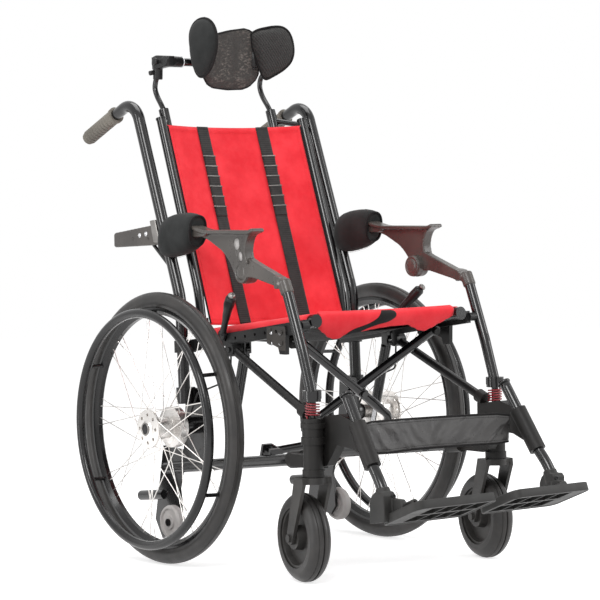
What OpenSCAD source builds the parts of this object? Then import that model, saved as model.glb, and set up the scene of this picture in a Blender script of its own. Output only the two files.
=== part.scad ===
// Folding tilt-in-space wheelchair with sling upholstery, a cross brace under the seat and
// a seat unit that tilts between two rigid side frames. All sizes are in millimetres.
// The sitter faces -Y, +X is the sitter's left and the floor is at height zero.
// Places are given from the middle plane, the rear axle and the floor. The module placed()
// then moves every node alike, to the middle of the chair's footprint.
// Side parts are drawn for the left and mirrored for the right.

/* [Rear wheels] */
// Outer diameter of the rear tyres
wheel_d = 563; // [520:1:600]
// Width of the rear tyres
tyre_w = 35; // [28:1:42]
// Height of the rear tyre above its rim
tyre_h = 31.5; // [26:0.5:36]
// Distance between the middle planes of the rear wheels
wheel_track = 578.6; // [576:0.2:620]
// Height of the rim's section
rim_h = 15; // [12:0.5:18]
// Width of the rim
rim_w = 24; // [20:1:28]
// Diameter of the hand rim, at the middle of its tube
handrim_d = 479; // [465:1:485]
// Diameter of the hand rim's tube
handrim_tube_d = 19; // [16:0.5:22]
// Distance from the wheel's middle plane to the hand rim's
handrim_out = 46.9; // [40:0.1:55]
// Number of tabs that hold the hand rim
handrim_tabs = 6; // [4:1:8]
// Number of spokes on each hub flange
spokes_per_flange = 18; // [9:1:18]
// Diameter of a spoke
spoke_d = 2.2; // [1.8:0.1:2.6]
// Diameter of the axle
axle_d = 12; // [10:0.5:13]
// Diameter of the drum brake in the hub
drum_d = 85; // [70:1:95]
// Diameter of the hub's outer flange
flange_d = 80; // [70:1:90]

/* [Casters] */
// Outer diameter of the caster wheels
caster_d = 175; // [150:1:180]
// Width of the caster wheels
caster_w = 45; // [38:1:48]
// Distance between the two swivel axes
caster_track = 472; // [466:1:480]
// Distance from the rear axle forward to the swivel axes
wheelbase = 447; // [440:1:455]
// Distance from the swivel axis back to the caster's axle
caster_trail = 46; // [36:1:50]
// Turn of both casters to the left at rest, in degrees
caster_turn = 10; // [0:1:30]
// Diameter of the caster stem
stem_d = 14; // [12:0.5:16]

/* [Side frames] */
// Distance between the base tubes, middle to middle
base_track = 410; // [408:1:414]
// Diameter of the base and push tubes
frame_tube_d = 25; // [22:0.5:26]
// Distance between the push tubes, middle to middle
push_track = 456; // [454:1:460]
// Height of the top corner of the push tubes
push_top = 968.7; // [900:0.1:1050]
// Diameter of a push grip
grip_d = 32; // [30:0.5:36]
// Length of a push grip
grip_l = 124; // [110:1:130]
// Diameter of the front tubes
front_tube_d = 22; // [20:0.5:24]
// Height of the side rail's section
rail_h = 25; // [20:0.5:28]
// Diameter of the strut below the side rail
strut_d = 18; // [14:0.5:20]

/* [Cross brace] */
// Half the distance between the brace pivots on one level
brace_half_w = 182; // [181.5:0.1:182.5]
// Slope of the brace members at rest, in degrees
brace_slope = 33.5; // [33:0.1:34]
// Forward rake of the plane that the brace folds in, in degrees
brace_rake = 17; // [16.5:0.1:17.5]
// Diameter of the brace tubes
brace_tube_d = 19; // [16:0.5:19]
// Diameter of the brace pins
brace_pin_d = 8; // [7:0.5:9]

/* [Seat unit] */
// Distance between the seat tubes, middle to middle
seat_track = 374; // [372:1:376]
// Diameter of the seat tubes
seat_tube_d = 25; // [22:0.5:25]
// Diameter of the inner back tubes
back_tube_d = 20; // [18:0.5:22]
// Thickness of the sling fabric with its padding
sling_t = 4; // [3:0.5:6]
// Sag of the seat sling at its middle
seat_sag = 14; // [6:1:20]
// Sag of the back sling at its middle
back_sag = 16; // [8:1:24]
// Diameter of a tilt pin
tilt_pin_d = 10; // [8:0.5:10]
// Outer diameter of a gas spring's cylinder
gas_d = 22; // [21:0.5:24]
// Length of a gas spring's cylinder
gas_l = 142; // [130:1:150]
// Diameter of a gas spring's rod
gas_rod_d = 8; // [6:0.5:9]

/* [Footrest] */
// Diameter of the footrest tubes
foot_tube_d = 22; // [20:0.5:24]
// Depth of a footplate from its rear to its front edge
plate_depth = 118; // [90:1:130]
// Thickness of a footplate
plate_t = 13; // [10:0.5:15]
// Gap between the two footplates
plate_gap = 44; // [36:1:80]
// Slope of the footplates, in degrees
plate_slope = 21; // [15:1:25]
// Height of the calf strap
strap_h = 57; // [40:1:70]

/* [Headrest] */
// Diameter of the headrest rods
head_rod_d = 14; // [12:0.5:16]
// Width of the middle headrest panel
panel_w = 118; // [90:1:126]
// Height of the middle headrest panel
panel_h = 128; // [110:1:140]
// Length of a headrest wing
wing_l = 82; // [60:1:90]
// Turn of the headrest to one side, in degrees
headrest_turn = 10; // [0:1:12]

/* [Hidden] */
$fn = 48;

// Sides, as the sign of X
right = -1;
left = 1;

// Colours
frame_black = "#1a1a1c";
casting_grey = "#4a4340";
rubber_black = "#2a2a2b";
bright_metal = "#c4c6c8";
fabric_red = "#e8303c";
spring_red = "#7c1420";
pale_grey = "#b9b9ba";

// Clearances and overruns
running = 0.05; // radial gap of a pin or a tube that turns or slides
seat_gap = 0.3; // gap between a piece and what it rests on
over = 1; // overrun of a cut past the surface it opens
sleeve_in = 1; // reach of a straight run into a bend
sleeve_lip = 0.1; // step at the joint of a straight run and a bend

// Rear wheels
wheel_r = wheel_d / 2;
wheel_x = wheel_track / 2;
rim_r = wheel_r - tyre_h;
hub_start = 238; // inner end of the hub, from the middle plane
hub_end = 329; // outer end of the hub, from the middle plane
hub_nose_l = 12;
drum_w = 18;
barrel_d = 45;
flange_t = 8;
hub_cap_d = 24;
hub_hole_d = 7;
hub_holes = 8;
spoke_sweep = 52; // turn of a spoke from its hub hole to its rim hole, in degrees
spoke_inset = 3;
tread_groove = 1.4;
tab_d = 8;

// Casters
caster_r = caster_d / 2;
caster_x = caster_track / 2;
caster_y = -wheelbase;
caster_rim_d = 118;
caster_hub_d = 44;
caster_web_t = 14;
caster_axle_d = 10;
fork_gap = 2.5; // gap between the caster and each leg of its fork
leg_t = 7;
leg_w = 26;
crown_z = 197; // underside of the fork's crown
crown_t = 13;
crown_d = 46;
groove_w = 3;
groove_h = 2.5;
grooves = 3;

// Base tube, axle plate and push tube
base_x = base_track / 2;
base_rear = [110, 183];
base_front = [-372, 237.7];
push_x = push_track / 2;
plate_metal_t = 6;
axle_plate_w = 106;
axle_plate_h = 172;
axle_plate_z = 190; // foot of the axle plate
axle_plate_shares = [[-0.58, 0], [-0.34, 0.5], [-0.3, 0.98], [0.26, 1], [0.3, 0.6], [0.42, 0]];
push_foot = [2, 330];
push_knee = [10, 545];
push_lean = 20.64; // lean of the push tubes above their knee, in degrees
push_bend_r = 45;
push_knee_r = 160;
push_drop = 22.3; // downward slope of the push grips, in degrees
push_corner = [push_knee.x + (push_top - push_knee.y) * tan(push_lean), push_top];
grip_reach = 203; // from the top corner to the end of the grip
grip_rim = 2;
clamp_wall = 5;
clamp_h = 34;
rear_bar_y = 246; // rear end of the bar behind the push tube
rear_bar_z = 672;
rear_bar_h = 20;
rear_bar_t = 12;
brace_bar_t = 8;

// Tipping lever and transit wheel at the rear end of the base tube
transit_plate_w = 118;
transit_plate_h = 200;
transit_plate_shares = [
  [0, 0.98], [0.7, 1], [1, 0.2], [0.78, 0], [0.5, 0.12],
  [0.28, 0.1], [0.14, 0.2], [0.16, 0.36], [0.22, 0.56]
];
transit_bolt_shares = [[0.6, 0.5], [0.44, 0.34]];
transit_plate_at = [34, 31];
transit_at = [66, 73];
transit_d = 72;
transit_w = 20;
transit_x = 222;
transit_pin_d = 10;
tip_bar_d = 22;
tip_bar_front = [118, 126];
tip_bar_rear = [208, 116];

// Caster housing, its arm and the front tube
housing_d = 42;
housing_top = 324;
housing_bottom = 211;
collar_z = 357; // underside of the collar on the spring
collar_h = 18;
collar_d = 37;
guide_d = 14;
guide_depth = 26;
spring_d = 30;
spring_wire_d = 3.4;
spring_curls = 5;
front_knee = [-418, 455];
front_top = [-368, 580];
front_bend_r = 300;

// Footrest tube, its sleeve and the footplate
foot_top = [203, -514, 369];
foot_bottom = [215, -632, 193];
foot_dir = unit(foot_bottom - foot_top);
sleeve_top = along_foot(318);
sleeve_bottom = along_foot(240);
sleeve_wall = 6;
foot_collar_wall = 2;
foot_collar_l = 4;
foot_travel = 40; // the tube slides this far down into its sleeve
hinge_x = 188; // footplate hinge, from the middle plane
plate_at = [-682, 172]; // footplate hinge, at the middle of the plate's depth
plate_drop = 8.5; // from the hinge axis down to the tread
plate_outer_x = 221;
plate_corner_r = 16;
hinge_pin_d = 8;
knuckle_d = 16;
knuckle_l = 30;
block_l = 44;

// Side rail and what it carries
rail_t = 10;
rail_x = 203; // inner face of the rail
rail_rear = [8, 447];
rail_front = [-400, 501];
rail_hole_d = 7;
rail_holes = 9;
strut_top = [216, -160, 446];
strut_foot = [228, -405, 339];
strut_boss_d = 28;
bracket_plate_at = [-307, 474];
bracket_plate_w = 62;
bracket_plate_h = 44;
bracket_plate_t = 4;
bolt_d = 8;
bolt_h = 3;
cable_d = 4;

// Drum brake lever
lever_at = [-124, 475];
lever_boss_d = 22;
lever_boss_t = 8;
lever_knee = [228, -152, 507];
lever_d = 13;
knob_at = [248, -198, 550];
knob_d = 26;

// Arms
arm_x = 232;
arm_rear = [-40, 686];
arm_front = [-291, 690];
arm_plate_w = 44;
arm_plate_t = 9;
disc_at = [-222, 606];
disc_d = 42;
link_foot = [-360, 582];
web_t = 22;
stem_step = 2; // the stem's top lies this far below the flat of the arm
web_w = 190;
web_h = 84;
web_shares = [
  [0, 0.94], [0.28, 0.84], [0.49, 0.64], [0.58, 0.42], [0.6, 0.1],
  [0.74, 0], [0.9, 0.1], [0.94, 0.36], [1, 0.62], [1, 0.94]
];
key_d = 13;
link_h = 30;
pad_x = 233;
pad_l = 104;
pad_w = 56;
pad_h = 84;
pad_at = [22, 681];

// Cross brace
cross_at = [0, -293, 355.4];
brace_up = [0, -sin(brace_rake), cos(brace_rake)];
brace_n = [0, cos(brace_rake), sin(brace_rake)];
brace_half_h = brace_half_w * tan(brace_slope);
member_gap = 0.8; // gap between the two brace tubes where they cross
upper_boss_d = 21;
lower_boss_d = 20;
boss_l = 20;
member_off = (boss_l + member_gap) / 2;
ear_t = 6;
crank_x = 84; // where the cast lower end stands upright
crank_r = 22;

// Seat unit
seat_x = seat_track / 2;
seat_slope = 6.5; // rise of the seat tubes towards the front, in degrees
seat_rear = [-24, 466.6];
seat_l = 372; // length of a seat tube
seat_dir = [-cos(seat_slope), sin(seat_slope)];
seat_front = seat_rear + seat_l * seat_dir;
tilt_at = [-295, 471.5];
tilt_barrel_d = 22;
tilt_barrel_l = 20;
lug_t = 5;
gas_top = [-160, 445]; // upper hinge of the gas springs
gas_span = 246; // distance between the hinges of a gas spring at rest
gas_x = 186;
gas_wall = 3.2;
gas_eye_d = 16;
gas_eye_t = 9;
gas_pin_d = 6;
gas_in = 50; // length of rod inside the cylinder at rest
gas_foot = gas_top + gas_span * [sin(brace_rake), -cos(brace_rake)];
back_x = 188;
back_foot = [-14, 466];
back_knee = [2, 560];
back_top = [130, 925];
back_knee_r = 220;
elbow_h = 38;
elbow_wall = 4.5;
back_lean = atan2(back_top.x - back_knee.x, back_top.y - back_knee.y);
tower_x = 143;
tower_d = 22;
tower_l = 46;
tower_foot = [171, 905];
cap_l = 8;
cap_lip = 1;

// Slings and straps
seat_sling_l = 358;
sling_back = 7; // from the rear end of the seat tubes to the sling
flap_h = 46;
back_sling_top = 912;
back_sling_bottom = 512;
sling_front = -3; // front of the back sling's edges, from the back tubes' axes
web_strap_w = 30;
web_strap_t = 2.4;
web_strap_x = 79;
loop_pitch = 23;
loops = 6;
strap_t = 4;
strap_sag = 22;

// Headrest
head_z = 1058; // height of the panel's tilt hinge
head_y = 161;
bar_z = 1048;
head_bar_d = 12;
panel_y = 132;
panel_t = 14;
panel_sag = 10;
panel_r = 18;
panel_hinge_l = 30;
wing_t = 22;
wing_h = 122;
wing_angle = 52;
wing_r = 26;
wing_hinge_d = 8;
wing_pin_x = panel_w / 2 + 10;
wing_bearing_h = 34;

// Middle of the chair's footprint, from the front edge of the footplates to the grips
plate_front = plate_at.x - plate_depth / 2 * cos(plate_slope)
  - (plate_drop + plate_t) * sin(plate_slope);
grip_end = push_corner + grip_reach * [cos(push_drop), -sin(push_drop)];
grip_back = grip_end.x + (grip_d / 2 - grip_rim) * sin(push_drop);
mid_y = (plate_front + grip_back) / 2;

// Unit vector of v
function unit(v) = v / norm(v);
// Point on the footrest tube's axis at height z
function along_foot(z) =
  foot_top + (foot_bottom - foot_top) * (foot_top.z - z) / (foot_top.z - foot_bottom.z);
// Outline from shares of a width and a height
function scaled(shares, w, h) = [for (p = shares) [p.x * w, p.y * h]];
// Angle by which a path turns at b
function turn(a, b, c) = acos(min(1, unit(b - a) * unit(c - b)));
// Length that a bend of radius r takes from each side of a corner
function trim(a, b, c, r) = r * tan(turn(a, b, c) / 2);
// Point in a side plane as a point in space
function spot(x, p) = [x, p.x, p.y];

// Moves the chair to the middle of its footprint
module placed() {
  translate([0, -mid_y, 0]) children();
}

// Draws a left part, or its mirror image for the right
module sided(s) {
  placed()
    if (s < 0) mirror([1, 0, 0]) children();
    else children();
}

// Sets an origin and three square axes
module at_axes(o, ex, ey, ez) {
  multmatrix([
    [ex.x, ey.x, ez.x, o.x],
    [ex.y, ey.y, ez.y, o.y],
    [ex.z, ey.z, ez.z, o.z],
    [0, 0, 0, 1]
  ]) children();
}

// Points the children's +Z from a to b
module aim(a, b) {
  v = b - a;
  translate(a) rotate([0, acos(v.z / norm(v)), atan2(v.y, v.x)]) children();
}

// Round bar from a to b
module rod(a, b, d) {
  aim(a, b) cylinder(h = norm(b - a), d = d);
}

// Bend of a round tube at the corner b
module bend(a, b, c, r, d) {
  u = unit(b - a);
  w = unit(c - b);
  start = b - u * trim(a, b, c, r);
  inward = unit(w - u * (u * w));
  at_axes(start + inward * r, -inward, u, cross(-inward, u))
    rotate_extrude(angle = turn(a, b, c)) translate([r, 0]) circle(d = d);
}

// Round tube along a path with a bend of radius r at its corners, or of a radius for each.
// The straight runs are a hair thinner and reach into the bends, as a sleeved joint does.
module bent_tube(path, r, d) {
  last = len(path) - 1;
  radii = is_list(r) ? r : [for (i = [1:1:last - 1]) r];
  cuts = [for (i = [0:last]) i == 0 || i == last
    ? 0 : trim(path[i - 1], path[i], path[i + 1], radii[i - 1]) - sleeve_in];
  for (i = [0:last - 1]) {
    u = unit(path[i + 1] - path[i]);
    rod(path[i] + u * cuts[i], path[i + 1] - u * cuts[i + 1], d - 2 * sleeve_lip);
  }
  for (i = [1:1:last - 1]) bend(path[i - 1], path[i], path[i + 1], radii[i - 1], d);
}

// Turns the children's +Z to +X at a place in a side plane
module along_x(x, p) {
  translate([x, p.x, p.y]) rotate([0, 90, 0]) children();
}

// Extrudes an outline drawn in Y and Z from x0 to x1
module side_plate(x0, x1) {
  translate([x0, 0, 0]) rotate([90, 0, 90]) linear_extrude(height = x1 - x0) children();
}

// Frame of the cross brace: X across, Y up the rake, Z backwards along the pins
module brace_frame() {
  at_axes(cross_at, [1, 0, 0], brace_up, -brace_n) children();
}

// Base tube with the axle plate, the axle, the transit plate and the fold pivot's ears
module side_frame(s) {
  color(frame_black) sided(s) {
    rod(spot(base_x, base_rear), spot(base_x, base_front), frame_tube_d);
    axle_plate();
    transit_plate();
    fold_ears(s);
    gas_foot_lug();
  }
}

module axle_plate() {
  side_plate(base_x - plate_metal_t / 2, base_x + plate_metal_t / 2)
    translate([0, axle_plate_z]) polygon(scaled(axle_plate_shares, axle_plate_w, axle_plate_h));
  along_x(base_x - axle_d, [0, wheel_r])
    cylinder(h = hub_start - seat_gap - base_x + axle_d, d = axle_d * 3);
  along_x(base_x, [0, wheel_r])
    cylinder(h = hub_end - flange_t - base_x, d = axle_d);
  foot = push_at(axle_plate_z + axle_plate_h - clamp_h);
  head = push_at(axle_plate_z + axle_plate_h);
  difference() {
    union() {
      rod(foot, head, frame_tube_d + 2 * clamp_wall);
      translate([base_x, foot.y - clamp_wall, foot.z])
        cube([push_x - base_x, clamp_wall * 2, clamp_h]);
    }
    rod(2 * foot - head, 2 * head - foot, frame_tube_d + 2 * running);
  }
}

// Point on the lower run of the push tube's axis at height z
function push_at(z) = spot(push_x,
  push_foot + (push_knee - push_foot) * (z - push_foot.y) / (push_knee.y - push_foot.y));

module transit_plate() {
  difference() {
    side_plate(base_x - plate_metal_t / 2, base_x + plate_metal_t / 2)
      translate(transit_plate_at)
        polygon(scaled(transit_plate_shares, transit_plate_w, transit_plate_h));
    for (p = transit_bolt_shares)
      along_x(base_x - plate_metal_t, transit_plate_at
        + [p.x * transit_plate_w, p.y * transit_plate_h])
        cylinder(h = plate_metal_t * 2, d = bolt_d);
  }
  along_x(base_x, transit_at) {
    cylinder(h = transit_x + transit_w / 2 + bolt_h + seat_gap - base_x, d = transit_pin_d);
    cylinder(h = transit_x - transit_w / 2 - seat_gap - base_x, d = transit_pin_d * 2);
    translate([0, 0, transit_x + transit_w / 2 + seat_gap - base_x])
      cylinder(h = bolt_h, d = transit_pin_d * 1.6);
  }
  rod(spot(base_x, tip_bar_front), spot(base_x, tip_bar_rear), tip_bar_d);
}

// Two ears and the pin that the lower end of a brace member turns on
module fold_ears(s) {
  off = -s * member_off;
  reach = base_x - brace_half_w;
  brace_frame() translate([brace_half_w, -brace_half_h, -off]) {
    for (e = [-1, 1]) translate([0, 0, e * (boss_l / 2 + seat_gap + ear_t / 2)]) {
      cylinder(h = ear_t, d = lower_boss_d, center = true);
      translate([0, -lower_boss_d / 2 - ear_t, -ear_t / 2])
        cube([reach, lower_boss_d + ear_t, ear_t]);
    }
    cylinder(h = boss_l + 2 * ear_t, d = brace_pin_d, center = true);
  }
}

// Lug and pin that the gas spring's rod turns on
module gas_foot_lug() {
  along_x(gas_x - gas_eye_t / 2, gas_foot)
    cylinder(h = base_x - gas_x + gas_eye_t / 2, d = gas_pin_d);
  along_x(gas_x + gas_eye_t / 2 + seat_gap, gas_foot)
    cylinder(h = base_x - gas_x - gas_eye_t / 2, d = gas_eye_d);
}

// Side rail with its clamps, the strut to the caster housing and the saddle plate
module side_rail(s) {
  color(frame_black) sided(s) {
    rail_bar();
    rail_clamp();
    strut();
    saddle_plate();
    brake_cable();
  }
}

module rail_bar() {
  slope = atan2(rail_front.y - rail_rear.y, rail_rear.x - rail_front.x);
  span = norm(rail_front - rail_rear);
  start = (frame_tube_d / 2 + clamp_wall) * 1;
  difference() {
    translate([rail_x, rail_rear.x, rail_rear.y]) rotate([-slope, 0, 0])
      translate([0, -span, -rail_h / 2]) cube([rail_t, span + start, rail_h]);
    for (i = [1:rail_holes])
      along_x(rail_x - over, rail_rear + (rail_front - rail_rear) * i / (rail_holes + 3))
        cylinder(h = rail_t + 2 * over, d = rail_hole_d);
  }
  along_x(rail_x + rail_t / 2, front_at(rail_front.y))
    cylinder(h = caster_x - front_tube_d / 2 - seat_gap - rail_x - rail_t / 2, d = rail_h * 0.7);
}

// Point on the upper run of the front tube's axis at height z, in its side plane
function front_at(z) =
  front_knee + (front_top - front_knee) * (z - front_knee.y) / (front_top.y - front_knee.y);

module rail_clamp() {
  foot = push_at(rail_rear.y - rail_h / 2);
  head = push_at(rail_rear.y + rail_h / 2);
  difference() {
    union() {
      rod(foot, head, frame_tube_d + 2 * clamp_wall);
      translate([rail_x, foot.y - rail_h / 2, foot.z])
        cube([push_x - rail_x, rail_h, rail_h]);
    }
    rod(2 * foot - head, 2 * head - foot, frame_tube_d + 2 * running);
  }
}

module strut() {
  rod(strut_top, strut_foot, strut_d);
  along_x(rail_x, [strut_top.y, strut_top.z])
    cylinder(h = rail_t + strut_d / 2 + 2 * bolt_h, d = strut_boss_d);
  along_x(rail_x + rail_t + strut_d / 2 + 2 * bolt_h, [strut_top.y, strut_top.z])
    cylinder(h = bolt_h, d = bolt_d * 1.5, $fn = 6);
}

module saddle_plate() {
  x = rail_x + rail_t;
  difference() {
    side_plate(x - rail_t / 2, x + bracket_plate_t) translate(bracket_plate_at)
      polygon(scaled(saddle_shares, bracket_plate_w, bracket_plate_h));
    along_x(x - rail_t, bracket_plate_at + [0, bracket_plate_h * 0.3])
      cylinder(h = rail_t * 2, d = bolt_d);
  }
  for (p = [[-0.3, 0.28], [0.3, 0.34], [-0.3, -0.2], [0.3, -0.2]])
    along_x(x + bracket_plate_t, bracket_plate_at
      + [p.x * bracket_plate_w, p.y * bracket_plate_h])
      cylinder(h = bolt_h, d = bolt_d * 1.2);
}
saddle_shares = [
  [0.5, 0.5], [-0.46, 0.58], [-0.52, 0.2], [-0.5, -0.72], [-0.18, -0.72],
  [-0.1, -0.42], [0.2, -0.3], [0.5, -0.26]
];

// Cable from the brake lever down to the drum, on its real route
module brake_cable() {
  boss_r = axle_d * 1.5;
  knee = [hub_start - axle_d, -42, 352];
  last = unit([knee.y, knee.z] - [0, wheel_r]) * (boss_r + seat_gap);
  bent_tube([
    [rail_x + rail_t + cable_d, -152, strut_top.z - strut_boss_d * 0.4],
    [rail_x + rail_t + cable_d, -148, 384],
    knee,
    [knee.x, last.x, wheel_r + last.y]
  ], cable_d * 3, cable_d);
}

// Housing of the caster's swivel bearing, with its moulded arm to the footrest sleeve
module caster_housing(s) {
  color(casting_grey) sided(s) difference() {
    union() {
      translate([caster_x, caster_y, 0]) housing_column();
      base_socket();
      strut_socket();
      footrest_arm();
    }
    translate([caster_x, caster_y, housing_bottom - over]) {
      cylinder(h = housing_top - guide_depth - housing_bottom - clamp_wall,
        d = stem_d + 2 * running);
      translate([0, 0, housing_top - guide_depth - housing_bottom + over])
        cylinder(h = guide_depth + 2 * over, d = guide_d + 2 * running);
    }
    rod(spot(base_x, base_rear), spot(base_x, base_front), frame_tube_d + 2 * running);
    rod(sleeve_top - foot_dir * sleeve_wall * 4, sleeve_bottom + foot_dir * sleeve_wall * 4,
      foot_tube_d + 2 * running);
    rod(foot_top + foot_dir * (foot_travel + 2 * seat_gap), foot_top - foot_dir * foot_collar_l,
      foot_tube_d + 2 * (foot_collar_wall + seat_gap));
  }
}

module housing_column() {
  rings = [[0, 1.04], [0.12, 0.94], [0.56, 1.1], [0.68, 1], [0.84, 1.14], [0.92, 1]];
  column_h = housing_top - housing_bottom;
  for (i = [0:len(rings) - 1]) {
    z0 = rings[i].x * column_h;
    z1 = (i + 1 < len(rings) ? rings[i + 1].x : 1) * column_h;
    translate([0, 0, housing_bottom + z0]) cylinder(h = z1 - z0, d = rings[i].y * housing_d);
  }
}

module base_socket() {
  dir = unit(base_front - base_rear);
  head = base_front + dir * clamp_wall;
  tail = base_front - dir * frame_tube_d * 1.4;
  rod(spot(base_x, tail), spot(base_x, head), frame_tube_d + 2 * clamp_wall);
  translate([base_x - clamp_wall, caster_y, base_front.y - frame_tube_d / 2])
    cube([caster_x - base_x + clamp_wall, base_front.x - caster_y, frame_tube_d]);
}

module strut_socket() {
  dir = unit(strut_foot - strut_top);
  rod(strut_foot + dir * seat_gap, strut_foot + dir * strut_d * 1.2, strut_d + 2 * clamp_wall);
  translate([strut_foot.x - strut_d / 2, caster_y, housing_top - strut_d * 1.5])
    cube([strut_d, strut_foot.y - strut_d * 0.3 - caster_y, strut_d * 1.5]);
}

module footrest_arm() {
  arm_w = foot_tube_d;
  side_plate(sleeve_top.x - arm_w / 2, sleeve_top.x + arm_w / 2)
    polygon([
      [caster_y + housing_d * 0.2, housing_top - clamp_wall],
      [caster_y - housing_d * 0.5, housing_top + clamp_wall],
      [caster_y - housing_d * 1.4, housing_top + clamp_wall * 2],
      [sleeve_top.y, sleeve_top.z + clamp_wall],
      [sleeve_bottom.y, sleeve_bottom.z + clamp_wall * 2],
      [mixed(sleeve_bottom.y, caster_y, 0.36), mixed(sleeve_bottom.z, housing_top, 0.36)],
      [mixed(sleeve_bottom.y, caster_y, 0.66), mixed(sleeve_bottom.z, housing_top, 0.4)],
      [caster_y - housing_d * 0.46, housing_bottom + housing_d * 0.5],
      [caster_y, housing_bottom + housing_d * 0.4]
    ]);
  rod(sleeve_top, sleeve_bottom, foot_tube_d + 2 * sleeve_wall);
}

function mixed(a, b, t) = a + (b - a) * t;

// Front tube from the collar on the spring up to the arm link
module front_tube(s) {
  color(frame_black) sided(s) {
    bent_tube([
      [caster_x, caster_y + 2, collar_z + collar_h],
      spot(caster_x, front_knee),
      spot(caster_x, front_top)
    ], front_bend_r, front_tube_d);
    translate([caster_x, caster_y, collar_z]) {
      cylinder(h = collar_h * 0.3, d = collar_d * 0.94);
      translate([0, 0, collar_h * 0.3]) cylinder(h = collar_h * 0.7 + 3, d = collar_d);
      translate([0, 0, housing_top - guide_depth + seat_gap - collar_z])
        cylinder(h = collar_z - housing_top + guide_depth, d = guide_d);
    }
  }
}

// Points of the spring's wire, from the housing up to the collar
function spring_path(n, r, z0, z1, lead) = [
  for (i = [0:n])
    let (a = 360 * spring_curls * i / n, t = i / n)
    [r * cos(a), r * sin(a), z0 + lead + (z1 - z0 - 2 * lead) * t]
];

// Coil spring round the guide, as one unbroken wire
module front_spring(s) {
  r = (spring_d - spring_wire_d) / 2;
  z0 = housing_top + seat_gap;
  z1 = collar_z - seat_gap;
  steps = 8 * spring_curls;
  core = spring_path(steps, r, z0, z1, spring_wire_d);
  path = concat([[r, 0, z0]], core, [[r * cos(0), 0, z1]]);
  least = min([for (i = [0:steps - 8]) norm(core[i + 8] - core[i])]) - spring_wire_d;
  echo(spring_least_gap = least);
  color(spring_red) sided(s) translate([caster_x, caster_y, 0]) wire(path, spring_wire_d, 6);
}

// Closed tube with flat ends swept along a path
module wire(path, d, sides) {
  last = len(path) - 1;
  dirs = [for (i = [0:last])
    unit(path[min(i + 1, last)] - path[max(i - 1, 0)])];
  ring = [for (i = [0:last])
    let (t = i == 0 || i == last ? [0, 0, 1] : dirs[i],
      out = unit([path[i].x, path[i].y, 0] - t * (t * [path[i].x, path[i].y, 0])),
      side = cross(t, out))
    for (k = [0:sides - 1])
      let (a = 360 * k / sides)
      path[i] + d / 2 * (out * cos(a) + side * sin(a))];
  walls = [for (i = [0:last - 1]) for (k = [0:sides - 1])
    let (k1 = (k + 1) % sides, p = i * sides, q = p + sides)
    each [[p + k, q + k1, p + k1], [p + k, q + k, q + k1]]];
  ends = [for (k = [1:sides - 2])
    each [[0, k, k + 1], [last * sides, last * sides + k + 1, last * sides + k]]];
  polyhedron(points = ring, faces = concat(walls, ends));
}

// Push tube with the bar and the diagonal behind it
module push_tube(s) {
  color(frame_black) sided(s) {
    grip_stop = push_corner + (grip_reach - grip_d / 2) * [cos(push_drop), -sin(push_drop)];
    bent_push(grip_stop);
    rear_bar();
  }
}

module bent_push(grip_stop) {
  bent_tube([spot(push_x, push_foot), spot(push_x, push_knee), spot(push_x, push_corner),
    spot(push_x, grip_stop)], [push_knee_r, push_bend_r], frame_tube_d);
}

// Point on the leaning run of the push tube at height z, in its side plane
function lean_at(z) = push_knee
  + (push_corner - push_knee) * (z - push_knee.y) / (push_corner.y - push_knee.y);

module rear_bar() {
  front = lean_at(rear_bar_z).x;
  for (k = [0, 1])
    translate([push_x - rear_bar_t / 2, front, rear_bar_z - rear_bar_h / 2 + k * rear_bar_h * 0.55])
      cube([rear_bar_t, rear_bar_y - front - k * rear_bar_h, rear_bar_h * 0.45]);
  translate([push_x - rear_bar_t / 3, front, rear_bar_z - rear_bar_h * 0.3])
    cube([rear_bar_t * 2 / 3, rear_bar_y - front - rear_bar_h, rear_bar_h * 0.6]);
  for (p = [0.3, 0.62])
    along_x(push_x - rear_bar_t / 2 - bolt_h, [mixed(front, rear_bar_y, p), rear_bar_z])
      cylinder(h = rear_bar_t + 2 * bolt_h, d = bolt_d);
  rod(spot(push_x, [mixed(front, rear_bar_y, 0.3), rear_bar_z - rear_bar_h * 0.4]),
    spot(push_x, lean_at(rear_bar_z - rear_bar_h * 3.5)), brace_bar_t);
}

// Ribbed push grip with a closed end
module grip(s) {
  dir = [cos(push_drop), -sin(push_drop)];
  start = grip_end - dir * grip_l;
  color(rubber_black) sided(s) aim(spot(push_x, start), spot(push_x, grip_end))
    rotate_extrude() difference() {
      union() {
        square([grip_d / 2, grip_l - grip_d / 4]);
        square([grip_d / 2 + grip_rim, grip_d / 5]);
        translate([0, grip_l - grip_d / 4]) square([grip_d / 2 - grip_rim, grip_d / 4]);
      }
      translate([0, -over])
        square([frame_tube_d / 2 + running, grip_l - grip_d / 2 + over + seat_gap]);
      for (i = [1:9])
        translate([grip_d / 2, grip_l * (0.12 + 0.085 * i)]) circle(d = grip_d / 16, $fn = 16);
    }
}

// Armrest: top plate, flared web with a keyhole, and the stem in the sleeve
module armrest(s) {
  color(casting_grey) sided(s) {
    stem_end = lean_at(pad_at.y - arm_plate_t).x - frame_tube_d / 2 / cos(push_lean) - seat_gap;
    difference() {
      union() {
        arm_top();
        side_plate(arm_x - web_t / 2, arm_x + web_t / 2)
          translate([arm_rear.x, disc_at.y]) mirror([1, 0])
            polygon(scaled(web_shares, web_w, web_h));
      }
      keyhole();
      along_x(arm_x - web_t, disc_at)
        cylinder(h = web_t + seat_gap, d = disc_d + 2);
    }
    along_x(arm_x + seat_gap, disc_at) {
      cylinder(h = web_t / 2 + 3, d = disc_d);
      translate([0, 0, web_t / 2 + 3]) cylinder(h = 2, d = disc_d - 8);
    }
    translate([arm_x - web_t / 2, arm_rear.x - over, pad_at.y - arm_plate_t])
      cube([web_t, stem_end - arm_rear.x + over, arm_plate_t * 2 - stem_step]);
  }
}

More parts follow.
